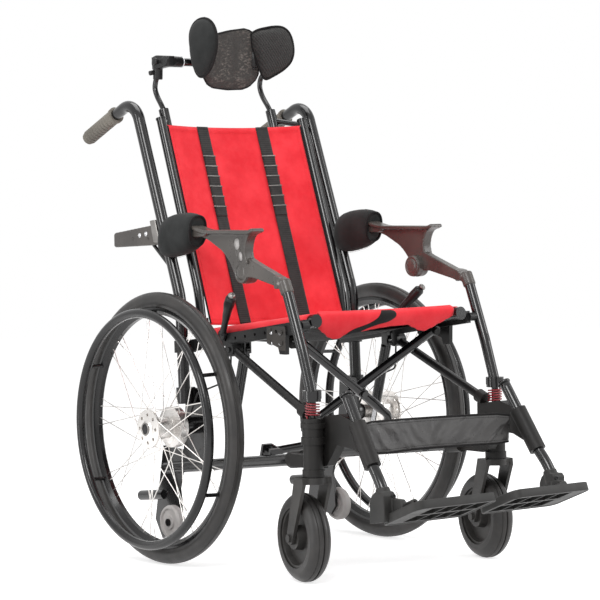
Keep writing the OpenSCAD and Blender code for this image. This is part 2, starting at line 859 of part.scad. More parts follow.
module arm_top() {
  span = arm_rear.x - arm_front.x;
  translate([arm_x - arm_plate_w / 2, arm_front.x, arm_front.y - arm_plate_t])
    cube([arm_plate_w, span * 0.3, arm_plate_t]);
  translate([arm_x - arm_plate_w * 0.4, arm_front.x + span * 0.3, arm_front.y - arm_plate_t])
    cube([arm_plate_w * 0.8, span * 0.7, arm_plate_t]);
  translate([arm_x - arm_plate_w / 2, arm_front.x, arm_front.y - arm_plate_t / 2])
    rotate([0, 90, 0]) cylinder(h = arm_plate_w, d = arm_plate_t);
}

module keyhole() {
  top = [mixed(arm_rear.x, arm_front.x, 0.6), mixed(disc_at.y, arm_rear.y, 0.72)];
  low = top + [-key_d * 0.8, -key_d * 1.6];
  along_x(arm_x - web_t, top) cylinder(h = web_t * 2, d = key_d);
  along_x(arm_x - web_t, low) cylinder(h = web_t * 2, d = key_d * 0.7);
}

// Link from the armrest's disc to the top of the front tube
module arm_link(s) {
  inner = arm_x - web_t / 2 - 8;
  color(casting_grey) sided(s) difference() {
    union() {
      along_x(inner, disc_at) cylinder(h = arm_x - inner, d = disc_d);
      side_plate(inner, arm_x) polygon([
        disc_at + [0, disc_d * 0.46],
        disc_at + [-disc_d * 0.2, disc_d * 0.45],
        link_foot + [link_h * 0.4, link_h * 0.5],
        link_foot + [link_h * 0.1, -link_h * 0.5],
        disc_at + [-disc_d * 0.1, -disc_d * 0.49]
      ]);
      along_x(inner, link_foot) cylinder(h = caster_x + front_tube_d * 0.6 - inner, d = link_h);
      rod(spot(caster_x, front_at(link_foot.y - link_h * 0.9)), spot(caster_x, front_top),
        front_tube_d + 2 * clamp_wall);
    }
    rod(spot(caster_x, front_knee), spot(caster_x, front_top), front_tube_d + 2 * running);
  }
}

// Soft sleeve round the push tube, with the armrest's stem in its mouth
module arm_pad(s) {
  color(rubber_black) sided(s) difference() {
    translate(spot(pad_x, pad_at)) rotate([-12, 0, 0]) soft_block(pad_w, pad_l, pad_h, 0.6, 12, 18);
    rod(spot(push_x, lean_at(pad_at.y - pad_h)), spot(push_x, lean_at(pad_at.y + pad_h)),
      frame_tube_d + 4 * seat_gap);
    translate([arm_x - arm_plate_w / 2 - seat_gap, arm_rear.x - pad_l,
      pad_at.y - arm_plate_t - seat_gap])
      cube([arm_plate_w + 2 * seat_gap, lean_at(pad_at.y).x - arm_rear.x + pad_l,
        arm_plate_t * 2 + 2 * seat_gap]);
    translate([push_x - rear_bar_t / 2 - seat_gap, lean_at(rear_bar_z).x,
      rear_bar_z - rear_bar_h / 2 - seat_gap])
      cube([rear_bar_t + 2 * seat_gap, pad_l, rear_bar_h + 2 * seat_gap]);
  }
}

// Crowned closed form with rounded sides: sizes, roundness share, rings and sides
module soft_block(w, l, h, soft, rings, sides) {
  points = [for (i = [1:rings - 1]) for (k = [0:sides - 1])
    let (u = 180 * i / rings, v = 360 * k / sides)
    [w / 2 * power(sin(u), soft) * power(cos(v), soft),
     l / 2 * power(cos(u), soft),
     h / 2 * power(sin(u), soft) * power(sin(v), soft)]];
  n = len(points);
  walls = [for (i = [0:rings - 3]) for (k = [0:sides - 1])
    let (k1 = (k + 1) % sides, p = i * sides, q = p + sides)
    each [[p + k, q + k1, p + k1], [p + k, q + k, q + k1]]];
  caps = [for (k = [0:sides - 1])
    let (k1 = (k + 1) % sides)
    each [[n, k, k1], [n + 1, n - sides + k1, n - sides + k]]];
  polyhedron(points = concat(points, [[0, l / 2, 0], [0, -l / 2, 0]]),
    faces = concat(walls, caps));
}

// Signed power, which squares a circle off as the exponent falls
function power(x, e) = sign(x) * pow(abs(x), e);

// Gas spring: the cylinder hangs from the seat tube
module gas_cylinder(s) {
  bottom = gas_top + gas_l * [sin(brace_rake), -cos(brace_rake)];
  color(frame_black) sided(s) difference() {
    union() {
      rod(spot(gas_x, gas_top), spot(gas_x, bottom), gas_d);
      along_x(gas_x - gas_eye_t / 2, gas_top) cylinder(h = gas_eye_t, d = gas_d);
    }
    along_x(gas_x - gas_d, gas_top)
      cylinder(h = gas_d * 2, d = gas_pin_d + 2 * running);
    for (e = [-1, 1])
      along_x(gas_x + e * (gas_eye_t / 2 + gas_d / 2), gas_top) translate([0, 0, -gas_d / 2])
        cylinder(h = gas_d, d = gas_d + 4);
    rod(spot(gas_x, mixed(bottom, gas_top, 0.82)), spot(gas_x, bottom * 2 - gas_top),
      gas_d - 2 * gas_wall);
  }
}

// Gas spring: the rod stands on the base tube
module gas_rod(s) {
  tip = gas_foot - (gas_span - gas_l + gas_in) * [sin(brace_rake), -cos(brace_rake)];
  color(bright_metal) sided(s) difference() {
    union() {
      rod(spot(gas_x, gas_foot), spot(gas_x, tip), gas_rod_d);
      along_x(gas_x - gas_eye_t / 2, gas_foot) cylinder(h = gas_eye_t, d = gas_eye_d);
    }
    along_x(gas_x - gas_eye_d, gas_foot)
      cylinder(h = gas_eye_d * 2, d = gas_pin_d + 2 * running);
  }
}

// Rim, hand rim and the tabs between them
module rear_rim(s) {
  color(rubber_black) sided(s) along_x(wheel_x, [0, wheel_r]) {
    rotate_extrude($fn = 96) translate([rim_r - rim_h, 0]) polygon([
      [0, -rim_w * 0.2], [rim_h * 0.6, -rim_w * 0.5], [rim_h, -rim_w * 0.5],
      [rim_h, rim_w * 0.5], [rim_h * 0.6, rim_w * 0.5], [0, rim_w * 0.2]
    ]);
    translate([0, 0, handrim_out]) rotate_extrude($fn = 96)
      translate([handrim_d / 2, 0]) circle(d = handrim_tube_d, $fn = 24);
    for (k = [0:handrim_tabs - 1]) rotate(360 * k / handrim_tabs)
      rod([rim_r - rim_h * 0.5, 0, 0], [handrim_d / 2, 0, handrim_out], tab_d);
  }
}

// Drum-brake hub and the laced spokes
module rear_hub(s) {
  hub_l = hub_end - hub_start;
  nose_r = axle_d / 2 + 9;
  color(bright_metal) sided(s) along_x(hub_start, [0, wheel_r]) {
    difference() {
      rotate_extrude($fn = 64) polygon([
        [0, hub_l],
        [0, 0],
        [nose_r, 0],
        [nose_r, hub_nose_l],
        [drum_d / 2, hub_nose_l],
        [drum_d / 2, hub_nose_l + drum_w],
        [drum_d * 0.4, hub_nose_l + drum_w + 3],
        [barrel_d / 2, hub_nose_l + drum_w + 6],
        [barrel_d / 2, hub_l - flange_t * 2],
        [flange_d / 2 - 6, hub_l - flange_t - 3],
        [flange_d / 2, hub_l - flange_t - 3],
        [flange_d / 2, hub_l - flange_t + 2],
        [hub_cap_d / 2 + 6, hub_l - flange_t + 4],
        [hub_cap_d / 2, hub_l]
      ]);
      translate([0, 0, -over])
        cylinder(h = hub_l - flange_t + over + seat_gap, d = axle_d + 2 * running);
      for (k = [0:hub_holes - 1]) rotate(360 * k / hub_holes)
        translate([flange_d * 0.36, 0, hub_l - flange_t * 1.6])
          cylinder(h = flange_t * 2, d = hub_hole_d);
    }
    lacing(drum_d / 2 - spoke_inset, hub_nose_l + drum_w * 0.7, 1);
    lacing(flange_d / 2 - spoke_inset, hub_l - flange_t - 1, -1);
  }
}

// One flange's spokes, crossing in pairs on their way to the rim
module lacing(r, z, lean) {
  rim_z = wheel_x - hub_start;
  step = 360 / spokes_per_flange;
  for (k = [0:spokes_per_flange - 1]) {
    way = k % 2 == 0 ? 1 : -1;
    rotate(step * k + (lean > 0 ? step / 2 : 0))
      rod([r, 0, z + way * spoke_d * 0.6],
        (rim_r - rim_h - seat_gap) * [cos(way * spoke_sweep), sin(way * spoke_sweep), 0]
        + [0, 0, rim_z - lean * way * spoke_d * 0.6], spoke_d, $fn = 6);
  }
}

// Rear tyre with a shallow tread groove on each side
module rear_tyre(s) {
  color(rubber_black) sided(s) along_x(wheel_x, [0, wheel_r])
    rotate_extrude($fn = 96) difference() {
      translate([wheel_r - tyre_w / 2, 0]) circle(d = tyre_w, $fn = 48);
      translate([0, -tyre_w]) square([rim_r, 2 * tyre_w]);
      for (e = [-1, 1])
        translate([wheel_r - tread_groove * 0.5, e * tyre_w * 0.16]) circle(d = tread_groove * 2, $fn = 16);
    }
}

// Puts a caster part at its swivel axis, turned as the casters stand at rest
module swivelled(s) {
  sided(s) translate([caster_x, caster_y, 0]) rotate([0, 0, -s * caster_turn]) children();
}

// Fork with its stem and the caster's axle
module caster_fork(s) {
  leg_in = caster_w / 2 + fork_gap;
  color(casting_grey) swivelled(s) {
    translate([0, 0, crown_z]) cylinder(h = crown_t, d = crown_d);
    translate([0, 0, crown_z + crown_t - over])
      cylinder(h = housing_top - guide_depth - clamp_wall * 2 - crown_z - crown_t, d = stem_d);
    translate([-leg_in - leg_t, -crown_d * 0.3, crown_z])
      cube([2 * (leg_in + leg_t), crown_d * 0.75, crown_t]);
    for (e = [-1, 1]) mirror([e < 0 ? 1 : 0, 0, 0]) {
      side_plate(leg_in, leg_in + leg_t) polygon([
        [-crown_d * 0.3, crown_z + crown_t],
        [-crown_d * 0.34, crown_z],
        [caster_trail - leg_w * 0.5, caster_r],
        [caster_trail + leg_w * 0.5, caster_r],
        [crown_d * 0.62, crown_z - crown_t],
        [crown_d * 0.45, crown_z + crown_t]
      ]);
      along_x(leg_in, [caster_trail, caster_r]) cylinder(h = leg_t, d = leg_w);
      along_x(leg_in + leg_t, [caster_trail, caster_r]) cylinder(h = bolt_h * 1.5, d = bolt_d * 2);
    }
    along_x(-leg_in - leg_t / 2, [caster_trail, caster_r])
      cylinder(h = 2 * leg_in + leg_t, d = caster_axle_d);
  }
}

// Caster wheel body with a dished web
module caster_wheel(s) {
  half = caster_w * 0.42;
  color(casting_grey) swivelled(s) along_x(0, [caster_trail, caster_r])
    difference() {
      rotate_extrude($fn = 64) polygon([
        [caster_axle_d / 2 + running, -caster_w / 2 - fork_gap / 2],
        [caster_hub_d / 2, -caster_w / 2 - fork_gap / 2],
        [caster_hub_d / 2 + 3, -caster_web_t / 2],
        [caster_rim_d / 2 - 8, -caster_web_t / 2],
        [caster_rim_d / 2 - 5, -half],
        [caster_rim_d / 2, -half],
        [caster_rim_d / 2, half],
        [caster_rim_d / 2 - 5, half],
        [caster_rim_d / 2 - 8, caster_web_t / 2],
        [caster_hub_d / 2 + 3, caster_web_t / 2],
        [caster_hub_d / 2, caster_w / 2 + fork_gap / 2],
        [caster_axle_d / 2 + running, caster_w / 2 + fork_gap / 2]
      ]);
    }
}

// Caster tyre with its grooves
module caster_tyre(s) {
  color(rubber_black) swivelled(s) along_x(0, [caster_trail, caster_r])
    rotate_extrude($fn = 64) difference() {
      intersection() {
        translate([caster_r - caster_w / 2, 0]) circle(d = caster_w * 1.02, $fn = 48);
        translate([caster_rim_d / 2, -caster_w / 2]) square([caster_r - caster_rim_d / 2, caster_w]);
      }
      for (i = [0:grooves - 1])
        translate([caster_r - groove_h, (i - (grooves - 1) / 2) * caster_w * 0.24 - groove_w / 2])
          square([groove_h * 2, groove_w]);
    }
}

// Footrest tube with the block that carries the footplate
module footrest_tube(s) {
  low = [hinge_x, plate_at.x, plate_at.y];
  fwd = [0, -cos(plate_slope), sin(plate_slope)];
  up = [0, sin(plate_slope), cos(plate_slope)];
  color(frame_black) sided(s) {
    rod(foot_top, foot_bottom, foot_tube_d);
    rod(foot_top, foot_top - foot_dir * foot_collar_l, foot_tube_d + 2 * foot_collar_wall);
    at_axes(low, [1, 0, 0], fwd, up) {
      translate([knuckle_d / 2 + seat_gap, -knuckle_l, 0])
        cube([plate_outer_x - hinge_x - knuckle_d / 2, 2 * knuckle_l, knuckle_d * 1.2]);
      for (e = [-1, 1])
        translate([0, e * (knuckle_l * 0.5 + seat_gap + knuckle_d / 4), 0]) {
          rotate([90, 0, 0]) cylinder(h = knuckle_d / 2, d = knuckle_d, center = true);
          translate([0, -knuckle_d / 4, 0]) cube([knuckle_d, knuckle_d / 2, knuckle_d / 2]);
        }
      rotate([90, 0, 0]) cylinder(h = knuckle_l + knuckle_d, d = hinge_pin_d, center = true);
    }
    rod(foot_bottom - foot_dir * block_l * 0.4, [foot_bottom.x - 4, plate_at.x + 12, plate_at.y + 14],
      foot_tube_d + 2 * sleeve_wall * 0.6);
  }
}

// Footplate with its tread ribs, stiffened below, and the hinge knuckle
module footplate(s) {
  w_in = hinge_x - plate_gap / 2;
  w_out = plate_outer_x - hinge_x;
  fwd = [0, -cos(plate_slope), sin(plate_slope)];
  up = [0, sin(plate_slope), cos(plate_slope)];
  color(rubber_black) sided(s) at_axes([hinge_x, plate_at.x, plate_at.y], [1, 0, 0], fwd, up) {
    difference() {
      union() {
        translate([0, 0, -plate_drop - plate_t]) linear_extrude(height = plate_t)
          plate_outline(w_in, w_out, 0);
        translate([-knuckle_d / 2, -knuckle_l / 2, -plate_drop - plate_t / 2])
          cube([knuckle_d, knuckle_l, plate_drop + plate_t / 2]);
        rotate([90, 0, 0]) cylinder(h = knuckle_l, d = knuckle_d, center = true);
      }
      rotate([90, 0, 0]) cylinder(h = knuckle_l + 2 * over, d = hinge_pin_d + 2 * running, center = true);
      translate([0, 0, -plate_drop - plate_t - over]) linear_extrude(height = plate_t * 0.6 + over)
        plate_pockets(w_in);
      for (i = [0:5])
        translate([-w_in + plate_corner_r + i * w_in * 0.14, -plate_depth * 0.34, -plate_drop - plate_t * 0.16])
          cube([w_in * 0.04, plate_depth * 0.68, plate_t]);
    }
  }
}

module plate_outline(w_in, w_out, inset) {
  r = plate_corner_r;
  hd = plate_depth / 2 - inset;
  difference() {
    translate([-w_in + inset, -hd]) square([w_in + w_out - 2 * inset, 2 * hd]);
    for (e = [-1, 1]) {
      translate([-w_in + inset, e * hd]) rotate(e > 0 ? -90 : 0) corner_cut(r);
      translate([w_out - inset, e * hd]) rotate(e > 0 ? 180 : 90) corner_cut(r);
    }
  }
}

// What a rounded corner takes away from a square one
module corner_cut(r) {
  difference() {
    translate([-over, -over]) square([r + over, r + over]);
    translate([r, r]) circle(r = r);
  }
}

module plate_pockets(w_in) {
  cell = w_in * 0.2;
  for (i = [0:3]) for (j = [-1, 1])
    translate([-w_in + plate_t + i * cell * 1.1, j > 0 ? plate_t * 0.3 : -plate_depth * 0.4])
      square([cell, plate_depth * 0.4 - plate_t * 0.3]);
}

// Drum brake lever with its knob
module brake_lever(s) {
  x = rail_x + rail_t + seat_gap;
  color(casting_grey) sided(s) {
    along_x(x, lever_at) cylinder(h = lever_boss_t, d = lever_boss_d);
    rod([x + lever_boss_t * 0.8, lever_at.x, lever_at.y], lever_knee, lever_d);
    translate(lever_knee) sphere(d = lever_d * 1.12, $fn = 24);
    rod(lever_knee, mixed(lever_knee, knob_at, 0.95), lever_d * 0.92);
    translate(knob_at) sphere(d = knob_d, $fn = 32);
    rod(knob_at, knob_at + [0, -knob_d * 0.36, knob_d * 0.36], knob_d * 0.54);
  }
}

// Small transit wheel
module transit_wheel(s) {
  color(pale_grey) sided(s) along_x(transit_x - transit_w / 2, transit_at)
    rotate_extrude($fn = 64) polygon([
      [transit_pin_d / 2 + running, 0],
      [transit_d * 0.2, 0],
      [transit_d * 0.22, transit_w * 0.2],
      [transit_d * 0.38, transit_w * 0.2],
      [transit_d * 0.4, 0],
      [transit_d * 0.46, 0],
      [transit_d * 0.5, transit_w * 0.25],
      [transit_d * 0.5, transit_w * 0.75],
      [transit_d * 0.46, transit_w],
      [transit_d * 0.4, transit_w],
      [transit_d * 0.38, transit_w * 0.8],
      [transit_d * 0.22, transit_w * 0.8],
      [transit_d * 0.2, transit_w],
      [transit_pin_d / 2 + running, transit_w]
    ]);
}

// Bracket between the upper brace end and the seat tube's tilt pin
module seat_bracket(s) {
  off = s * member_off;
  barrel = cross_at + brace_half_h * brace_up;
  reach = (tilt_at.x - barrel.y) * brace_n.y + (tilt_at.y - barrel.z) * brace_n.z;
  face = boss_l / 2 + seat_gap;
  low = -tilt_barrel_d * 0.86;
  color(casting_grey) sided(s) {
    difference() {
      union() {
        along_x(brace_half_w - tilt_barrel_l / 2, tilt_at)
          cylinder(h = tilt_barrel_l, d = tilt_barrel_d);
        brace_frame() translate([brace_half_w, brace_half_h, 0]) {
          translate([-tilt_barrel_l / 2 + 2, low, -reach])
            cube([tilt_barrel_l - 4, 2 - low, reach - off - face]);
          translate([-tilt_barrel_l / 2, low, -off - face - ear_t])
            cube([tilt_barrel_l, brace_pin_d * 0.6 - low, ear_t]);
        }
      }
      along_x(brace_half_w - tilt_barrel_l, tilt_at)
        cylinder(h = tilt_barrel_l * 2, d = tilt_pin_d + 2 * running);
    }
    brace_frame() translate([brace_half_w, brace_half_h, -off - face - ear_t / 2])
      cylinder(h = 2 * face + ear_t / 2, d = brace_pin_d);
    brace_frame() translate([brace_half_w, brace_half_h, -off + face])
      cylinder(h = ear_t * 0.6, d = brace_pin_d * 1.9);
  }
}

// Seat tube with its front cap, saddle, gas spring lug and rear elbow
module seat_tube(s) {
  color(frame_black) sided(s) {
    rod(spot(seat_x, seat_rear), spot(seat_x, seat_front), seat_tube_d);
    rod(spot(seat_x, seat_front - over * seat_dir), spot(seat_x, seat_front + cap_l * seat_dir),
      seat_tube_d + 2 * cap_lip);
    tilt_saddle();
    gas_top_lug();
    elbow();
  }
}

module tilt_saddle() {
  gap = tilt_barrel_l / 2 + seat_gap;
  tube_z = seat_rear.y + (seat_rear.x - tilt_at.x) * tan(seat_slope);
  saddle_z = tilt_at.y + tilt_barrel_d * 0.55;
  for (e = [-1, 1])
    along_x(brace_half_w + e * (gap + lug_t / 2) - lug_t / 2, tilt_at)
      cylinder(h = lug_t, d = tilt_barrel_d);
  for (e = [-1, 1])
    translate([brace_half_w + e * (gap + lug_t / 2) - lug_t / 2,
      tilt_at.x - tilt_barrel_d * 0.45, tilt_at.y])
      cube([lug_t, tilt_barrel_d * 0.9, saddle_z - tilt_at.y + over]);
  translate([brace_half_w - gap - lug_t, tilt_at.x - tilt_barrel_d * 0.45, saddle_z])
    cube([2 * (gap + lug_t), tilt_barrel_d * 0.9, tube_z - seat_tube_d * 0.3 - saddle_z]);
  along_x(brace_half_w - gap - lug_t, tilt_at) cylinder(h = 2 * (gap + lug_t), d = tilt_pin_d);
}

module gas_top_lug() {
  tube_z = seat_rear.y + (seat_rear.x - gas_top.x) * tan(seat_slope);
  for (e = [-1, 1])
    translate([gas_x + e * (gas_eye_t / 2 + seat_gap + 2) - 2, gas_top.x - gas_eye_d / 2, gas_top.y - gas_eye_d / 2])
      cube([4, gas_eye_d, tube_z - gas_top.y]);
  along_x(gas_x - gas_eye_t / 2 - seat_gap - 2, gas_top)
    cylinder(h = gas_eye_t + 2 * seat_gap + 4, d = gas_pin_d);
}

module elbow() {
  dir = unit(back_knee - back_foot);
  head = back_foot + dir * elbow_h;
  difference() {
    rod(spot(back_x, back_foot - dir * clamp_wall), spot(back_x, head), back_tube_d + 2 * elbow_wall);
    rod(spot(back_x, back_foot), spot(back_x, head + dir * over), back_tube_d + 2 * running);
  }
}

// Inner back tube with the bracket and tower that hold the headrest
module back_tube(s) {
  dir = [0, sin(back_lean), cos(back_lean)];
  top = spot(tower_x, tower_foot) + dir * tower_l;
  color(frame_black) sided(s) {
    bent_tube([spot(back_x, back_foot), spot(back_x, back_knee), spot(back_x, back_top)],
      back_knee_r, back_tube_d);
    difference() {
      union() {
        rod(spot(tower_x, tower_foot), top, tower_d);
        rod(spot(back_x, back_top) - dir * tower_d / 2, spot(tower_x, tower_foot) + dir * tower_d, tower_d * 0.55);
      }
      if (s < 0) rod(spot(tower_x, tower_foot) + dir * clamp_wall, top + dir * over, head_rod_d + 2 * running);
    }
    rod(spot(back_x, back_top), spot(back_x, back_top) + dir * 3, back_tube_d + 2);
  }
}

// Cross brace member: tube, upper boss, cranked lower casting and its boss
module brace_member(way) {
  top = [brace_half_w, brace_half_h, 0];
  low = [-brace_half_w, -brace_half_h, 0];
  slant = unit(top);
  knee = [-crank_x * 0.7, -crank_x * 0.7 * tan(brace_slope), 0];
  foot = [-crank_x, -brace_half_h * 0.94, 0];
  brace_frame() mirror([way > 0 ? 1 : 0, 0, 0]) translate([0, 0, way * member_off])
    difference() {
      union() {
        rod(knee, top - slant * upper_boss_d * 0.4, brace_tube_d);
        cylinder(h = boss_l, d = upper_boss_d, center = true);
        translate(top) cylinder(h = boss_l, d = upper_boss_d, center = true);
        translate(low) cylinder(h = boss_l, d = lower_boss_d, center = true);
        rod(top - slant * upper_boss_d * 1.7, top - slant * upper_boss_d * 0.3, brace_tube_d + 0.6);
        bent_tube([knee + slant * crank_r, [-crank_x, -crank_x * tan(brace_slope), 0], foot,
          low + [lower_boss_d * 0.4, 0, 0]], crank_r * 0.9, brace_tube_d * 0.9);
      }
      for (p = [top, low])
        translate(p) cylinder(h = boss_l * 3, d = brace_pin_d + 2 * running, center = true);
      if (way > 0) cylinder(h = boss_l * 3, d = brace_pin_d + 2 * running, center = true);
    }
}

// Rear member, from the right base tube up to the left seat bracket, with the centre pin
module brace_a() {
  color(frame_black) placed() {
    brace_member(-1);
    brace_frame() {
      translate([0, 0, -member_off]) cylinder(h = 2 * member_off + boss_l / 2 + seat_gap + over, d = brace_pin_d);
      translate([0, 0, member_off + boss_l / 2 + seat_gap]) cylinder(h = bolt_h, d = brace_pin_d * 1.8);
    }
  }
}

// Front member, from the left base tube up to the right seat bracket
module brace_b() {
  color(frame_black) placed() {
    brace_member(1);
  }
}

// Seat sling: sagging middle, sleeves over the seat tubes and a hanging front flap
module seat_sling() {
  top_y = seat_rear.x - sling_back;
  color(fabric_red) placed() {
    translate([0, top_y, seat_rear.y]) rotate([90 - seat_slope, 0, 0])
      translate([0, sling_back * tan(seat_slope), 0]) linear_extrude(height = seat_sling_l) seat_profile();
  }
}

// Section across the seat sling: a shallow arc between two open sleeves
module seat_profile() {
  r_in = seat_tube_d / 2 + seat_gap;
  r_out = r_in + sling_t * 0.6;
  half = seat_x - r_in;
  difference() {
    arc_band(seat_x, r_out - sling_t, seat_sag, sling_t);
    for (e = [-1, 1]) translate([e * seat_x, 0]) circle(r = r_in);
  }
  for (e = [-1, 1]) translate([e * seat_x, 0]) difference() {
    circle(r = r_out);
    circle(r = r_in);
    translate([-2 * r_out, -2 * r_out]) square([4 * r_out, 2 * r_out]);
  }
}

// Band of thickness t across the middle, that sags below its ends at height h
module arc_band(half, h, sag, t) {
  r = (half * half + sag * sag) / (2 * sag);
  difference() {
    translate([0, h + r - sag]) circle(r = r, $fn = 160);
    translate([0, h + r - sag + t]) circle(r = r, $fn = 160);
    for (e = [-1, 1]) translate([e > 0 ? half : -half - 2 * r, -r]) square([2 * r, 3 * r]);
  }
}

// Back sling with its two webbing straps
module back_sling() {
  foot = mixed(back_knee, back_top, (back_sling_bottom - back_knee.y) / (back_top.y - back_knee.y));
  span = (back_sling_top - back_sling_bottom) / cos(back_lean);
  color(fabric_red) placed()
    translate([0, foot.x, foot.y]) rotate([-back_lean, 0, 0]) {
      linear_extrude(height = span) back_profile();
      for (e = [-1, 1]) back_strap(e, span);
    }
}

module back_profile() {
  translate([0, sling_front + sling_t]) mirror([0, 1])
    arc_band(back_x - back_tube_d / 2 - seat_gap, 0, back_sag, sling_t);
}

// Webbing strap on the face of the back sling, with its ladder of bars
module back_strap(e, span) {
  face = back_face(web_strap_x);
  translate([e * web_strap_x - web_strap_w / 2, face - web_strap_t, 0])
    cube([web_strap_w, web_strap_t * 1.5, span - 4]);
  for (i = [0:loops - 1])
    translate([e * web_strap_x, face - web_strap_t, span * 0.84 - i * loop_pitch])
      rotate([0, 90, 0]) cylinder(h = web_strap_w + 4, d = web_strap_t * 1.6, center = true, $fn = 16);
}

// Front of the back sling at x, in the frame of the sling
function back_face(x) =
  let (half = back_x - back_tube_d / 2 - seat_gap,
    r = (half * half + back_sag * back_sag) / (2 * back_sag))
  sling_front + sqrt(r * r - x * x) - (r - back_sag);

// Calf strap slung between the footrest sleeves
module calf_strap() {
  up = unit([0, -foot_dir.y, -foot_dir.z]);
  fwd = [0, -up.z, up.y];
  sleeve_r = foot_tube_d / 2 + sleeve_wall;
  mid = along_foot((sleeve_top.z + sleeve_bottom.z) / 2 + strap_h * 0.32);
  half = mid.x + sleeve_r * 0.6;
  start = [0, mid.y, mid.z] + fwd * (sleeve_r + seat_gap + strap_sag * 0.105) + up * strap_h / 2;
  color(rubber_black) placed()
    at_axes(start, [1, 0, 0], fwd, -up)
      linear_extrude(height = strap_h) arc_band(half, 0, strap_sag, strap_t);
}

// Cross bar of the headrest with the rod in the right tower and the stub on the left one
module headrest_bar() {
  dir = [0, sin(back_lean), cos(back_lean)];
  foot = spot(tower_x, tower_foot);
  bar = [tower_foot.x + (bar_z - tower_foot.y) * tan(back_lean), bar_z];
  color(frame_black) placed() {
    mirror([1, 0, 0]) {
      rod(foot + dir * (clamp_wall + seat_gap), spot(tower_x, bar), head_rod_d);
      along_x(tower_x - head_bar_d, bar) cylinder(h = head_bar_d * 2, d = head_rod_d * 1.7);
      along_x(tower_x + head_bar_d, bar) cylinder(h = 4, d = head_rod_d * 1.2);
      rod(spot(tower_x + head_bar_d + 2, bar), [tower_x + head_bar_d + 2, bar.x + 30, bar.y + 6], 5);
    }
    rod(foot + dir * (tower_l + seat_gap), spot(tower_x, bar), head_rod_d);
    along_x(tower_x - head_bar_d, bar) cylinder(h = head_bar_d * 1.7, d = head_rod_d * 1.5);
    along_x(-tower_x, bar) cylinder(h = 2 * tower_x, d = head_bar_d);
    along_x(-head_bar_d, bar) cylinder(h = head_bar_d * 2, d = head_rod_d * 1.5);
    rod(spot(0, bar), [0, head_y + 2, head_z], head_rod_d);
    along_x(-panel_hinge_l / 2, [head_y, head_z]) cylinder(h = panel_hinge_l, d = wing_hinge_d * 2);
    along_x(-panel_hinge_l / 2 - lug_t - seat_gap, [head_y, head_z])
      cylinder(h = panel_hinge_l + 2 * lug_t + 2 * seat_gap, d = wing_hinge_d);
  }
}

// Places a headrest part in the frame of the turned panel
module turned() {
  placed() translate([0, panel_y, head_z]) rotate([0, 0, headrest_turn]) children();
}

// Middle panel of the headrest with its back lugs and the wings' bearings
module headrest_panel() {
  color(rubber_black) turned() {
    difference() {
      translate([0, 0, -panel_h / 2]) linear_extrude(height = panel_h)
        mirror([0, 1]) arc_band(panel_w / 2, -panel_t / 2, panel_sag, panel_t);
      for (e = [-1, 1]) for (k = [-1, 1])
        translate([e * panel_w / 2, -panel_t * 2, k * panel_h / 2]) rotate([-90, 0, 0])
          linear_extrude(height = panel_t * 4)
            mirror([e > 0 ? 1 : 0, 0]) mirror([0, k > 0 ? 0 : 1]) corner_cut(panel_r);
    }
    for (e = [-1, 1]) difference() {
      union() {
        translate([e * wing_pin_x, 0, 0])
          cylinder(h = wing_bearing_h, d = wing_hinge_d * 2, center = true);
        translate([e > 0 ? panel_w / 2 - over : -wing_pin_x, -wing_hinge_d / 2, -wing_bearing_h / 2])
          cube([wing_pin_x - panel_w / 2 + over, wing_hinge_d, wing_bearing_h]);
      }
      translate([e * wing_pin_x, 0, 0])
        cylinder(h = wing_bearing_h + 2 * over, d = wing_hinge_d + 2 * running, center = true);
    }
  }
  color(rubber_black) placed() for (e = [-1, 1])
    difference() {
      union() {
        along_x(e * (panel_hinge_l + lug_t + 2 * seat_gap) / 2 - lug_t / 2, [head_y, head_z])
          cylinder(h = lug_t, d = wing_hinge_d * 2);
        translate([e * (panel_hinge_l + lug_t + 2 * seat_gap) / 2 - lug_t / 2, panel_y, head_z - wing_hinge_d])
          cube([lug_t, head_y - panel_y, wing_hinge_d * 2]);
      }
      along_x(e * (panel_hinge_l + lug_t + 2 * seat_gap) / 2 - lug_t, [head_y, head_z])
        cylinder(h = lug_t * 2, d = wing_hinge_d + 2 * running);
    }
}

// Side wing of the headrest, a crowned pad on its pin
module headrest_pad(s) {
  color(rubber_black) turned() translate([s * wing_pin_x, 0, 0])
    rotate([0, 0, -s * wing_angle]) mirror([s < 0 ? 1 : 0, 0, 0]) {
      translate([wing_hinge_d * 1.5, -wing_t * 0.35, 0]) wing_form();
      for (k = [-1, 1])
        translate([-wing_hinge_d * 0.7, -wing_hinge_d * 0.7,
          k * (wing_bearing_h / 2 + seat_gap + lug_t / 2) - lug_t / 2])
          cube([wing_hinge_d * 3.3, wing_hinge_d * 1.4, lug_t]);
      cylinder(h = wing_bearing_h + 2 * seat_gap + lug_t, d = wing_hinge_d, center = true);
    }
}

// Lens-shaped pad with rounded corners, from its hinge edge outwards
module wing_form() {
  bulge = wing_t * 0.28;
  r = (wing_l * wing_l / 4 + bulge * bulge) / (2 * bulge);
  intersection() {
    translate([0, 0, -wing_h / 2 - over]) linear_extrude(height = wing_h + 2 * over) intersection() {
      translate([wing_l / 2, r - wing_t / 2]) circle(r = r, $fn = 160);
      translate([wing_l / 2, wing_t / 2 - r]) circle(r = r, $fn = 160);
    }
    rotate([90, 0, 0]) translate([0, -wing_h / 2, -wing_t * 2])
      linear_extrude(height = wing_t * 4) rounded(wing_l, wing_h, wing_r);
  }
}

// Rectangle with round corners, from its lower left corner
module rounded(w, h, r) {
  difference() {
    square([w, h]);
    corner_cut(r);
    translate([w, 0]) rotate(90) corner_cut(r);
    translate([w, h]) rotate(180) corner_cut(r);
    translate([0, h]) rotate(270) corner_cut(r);
  }
}

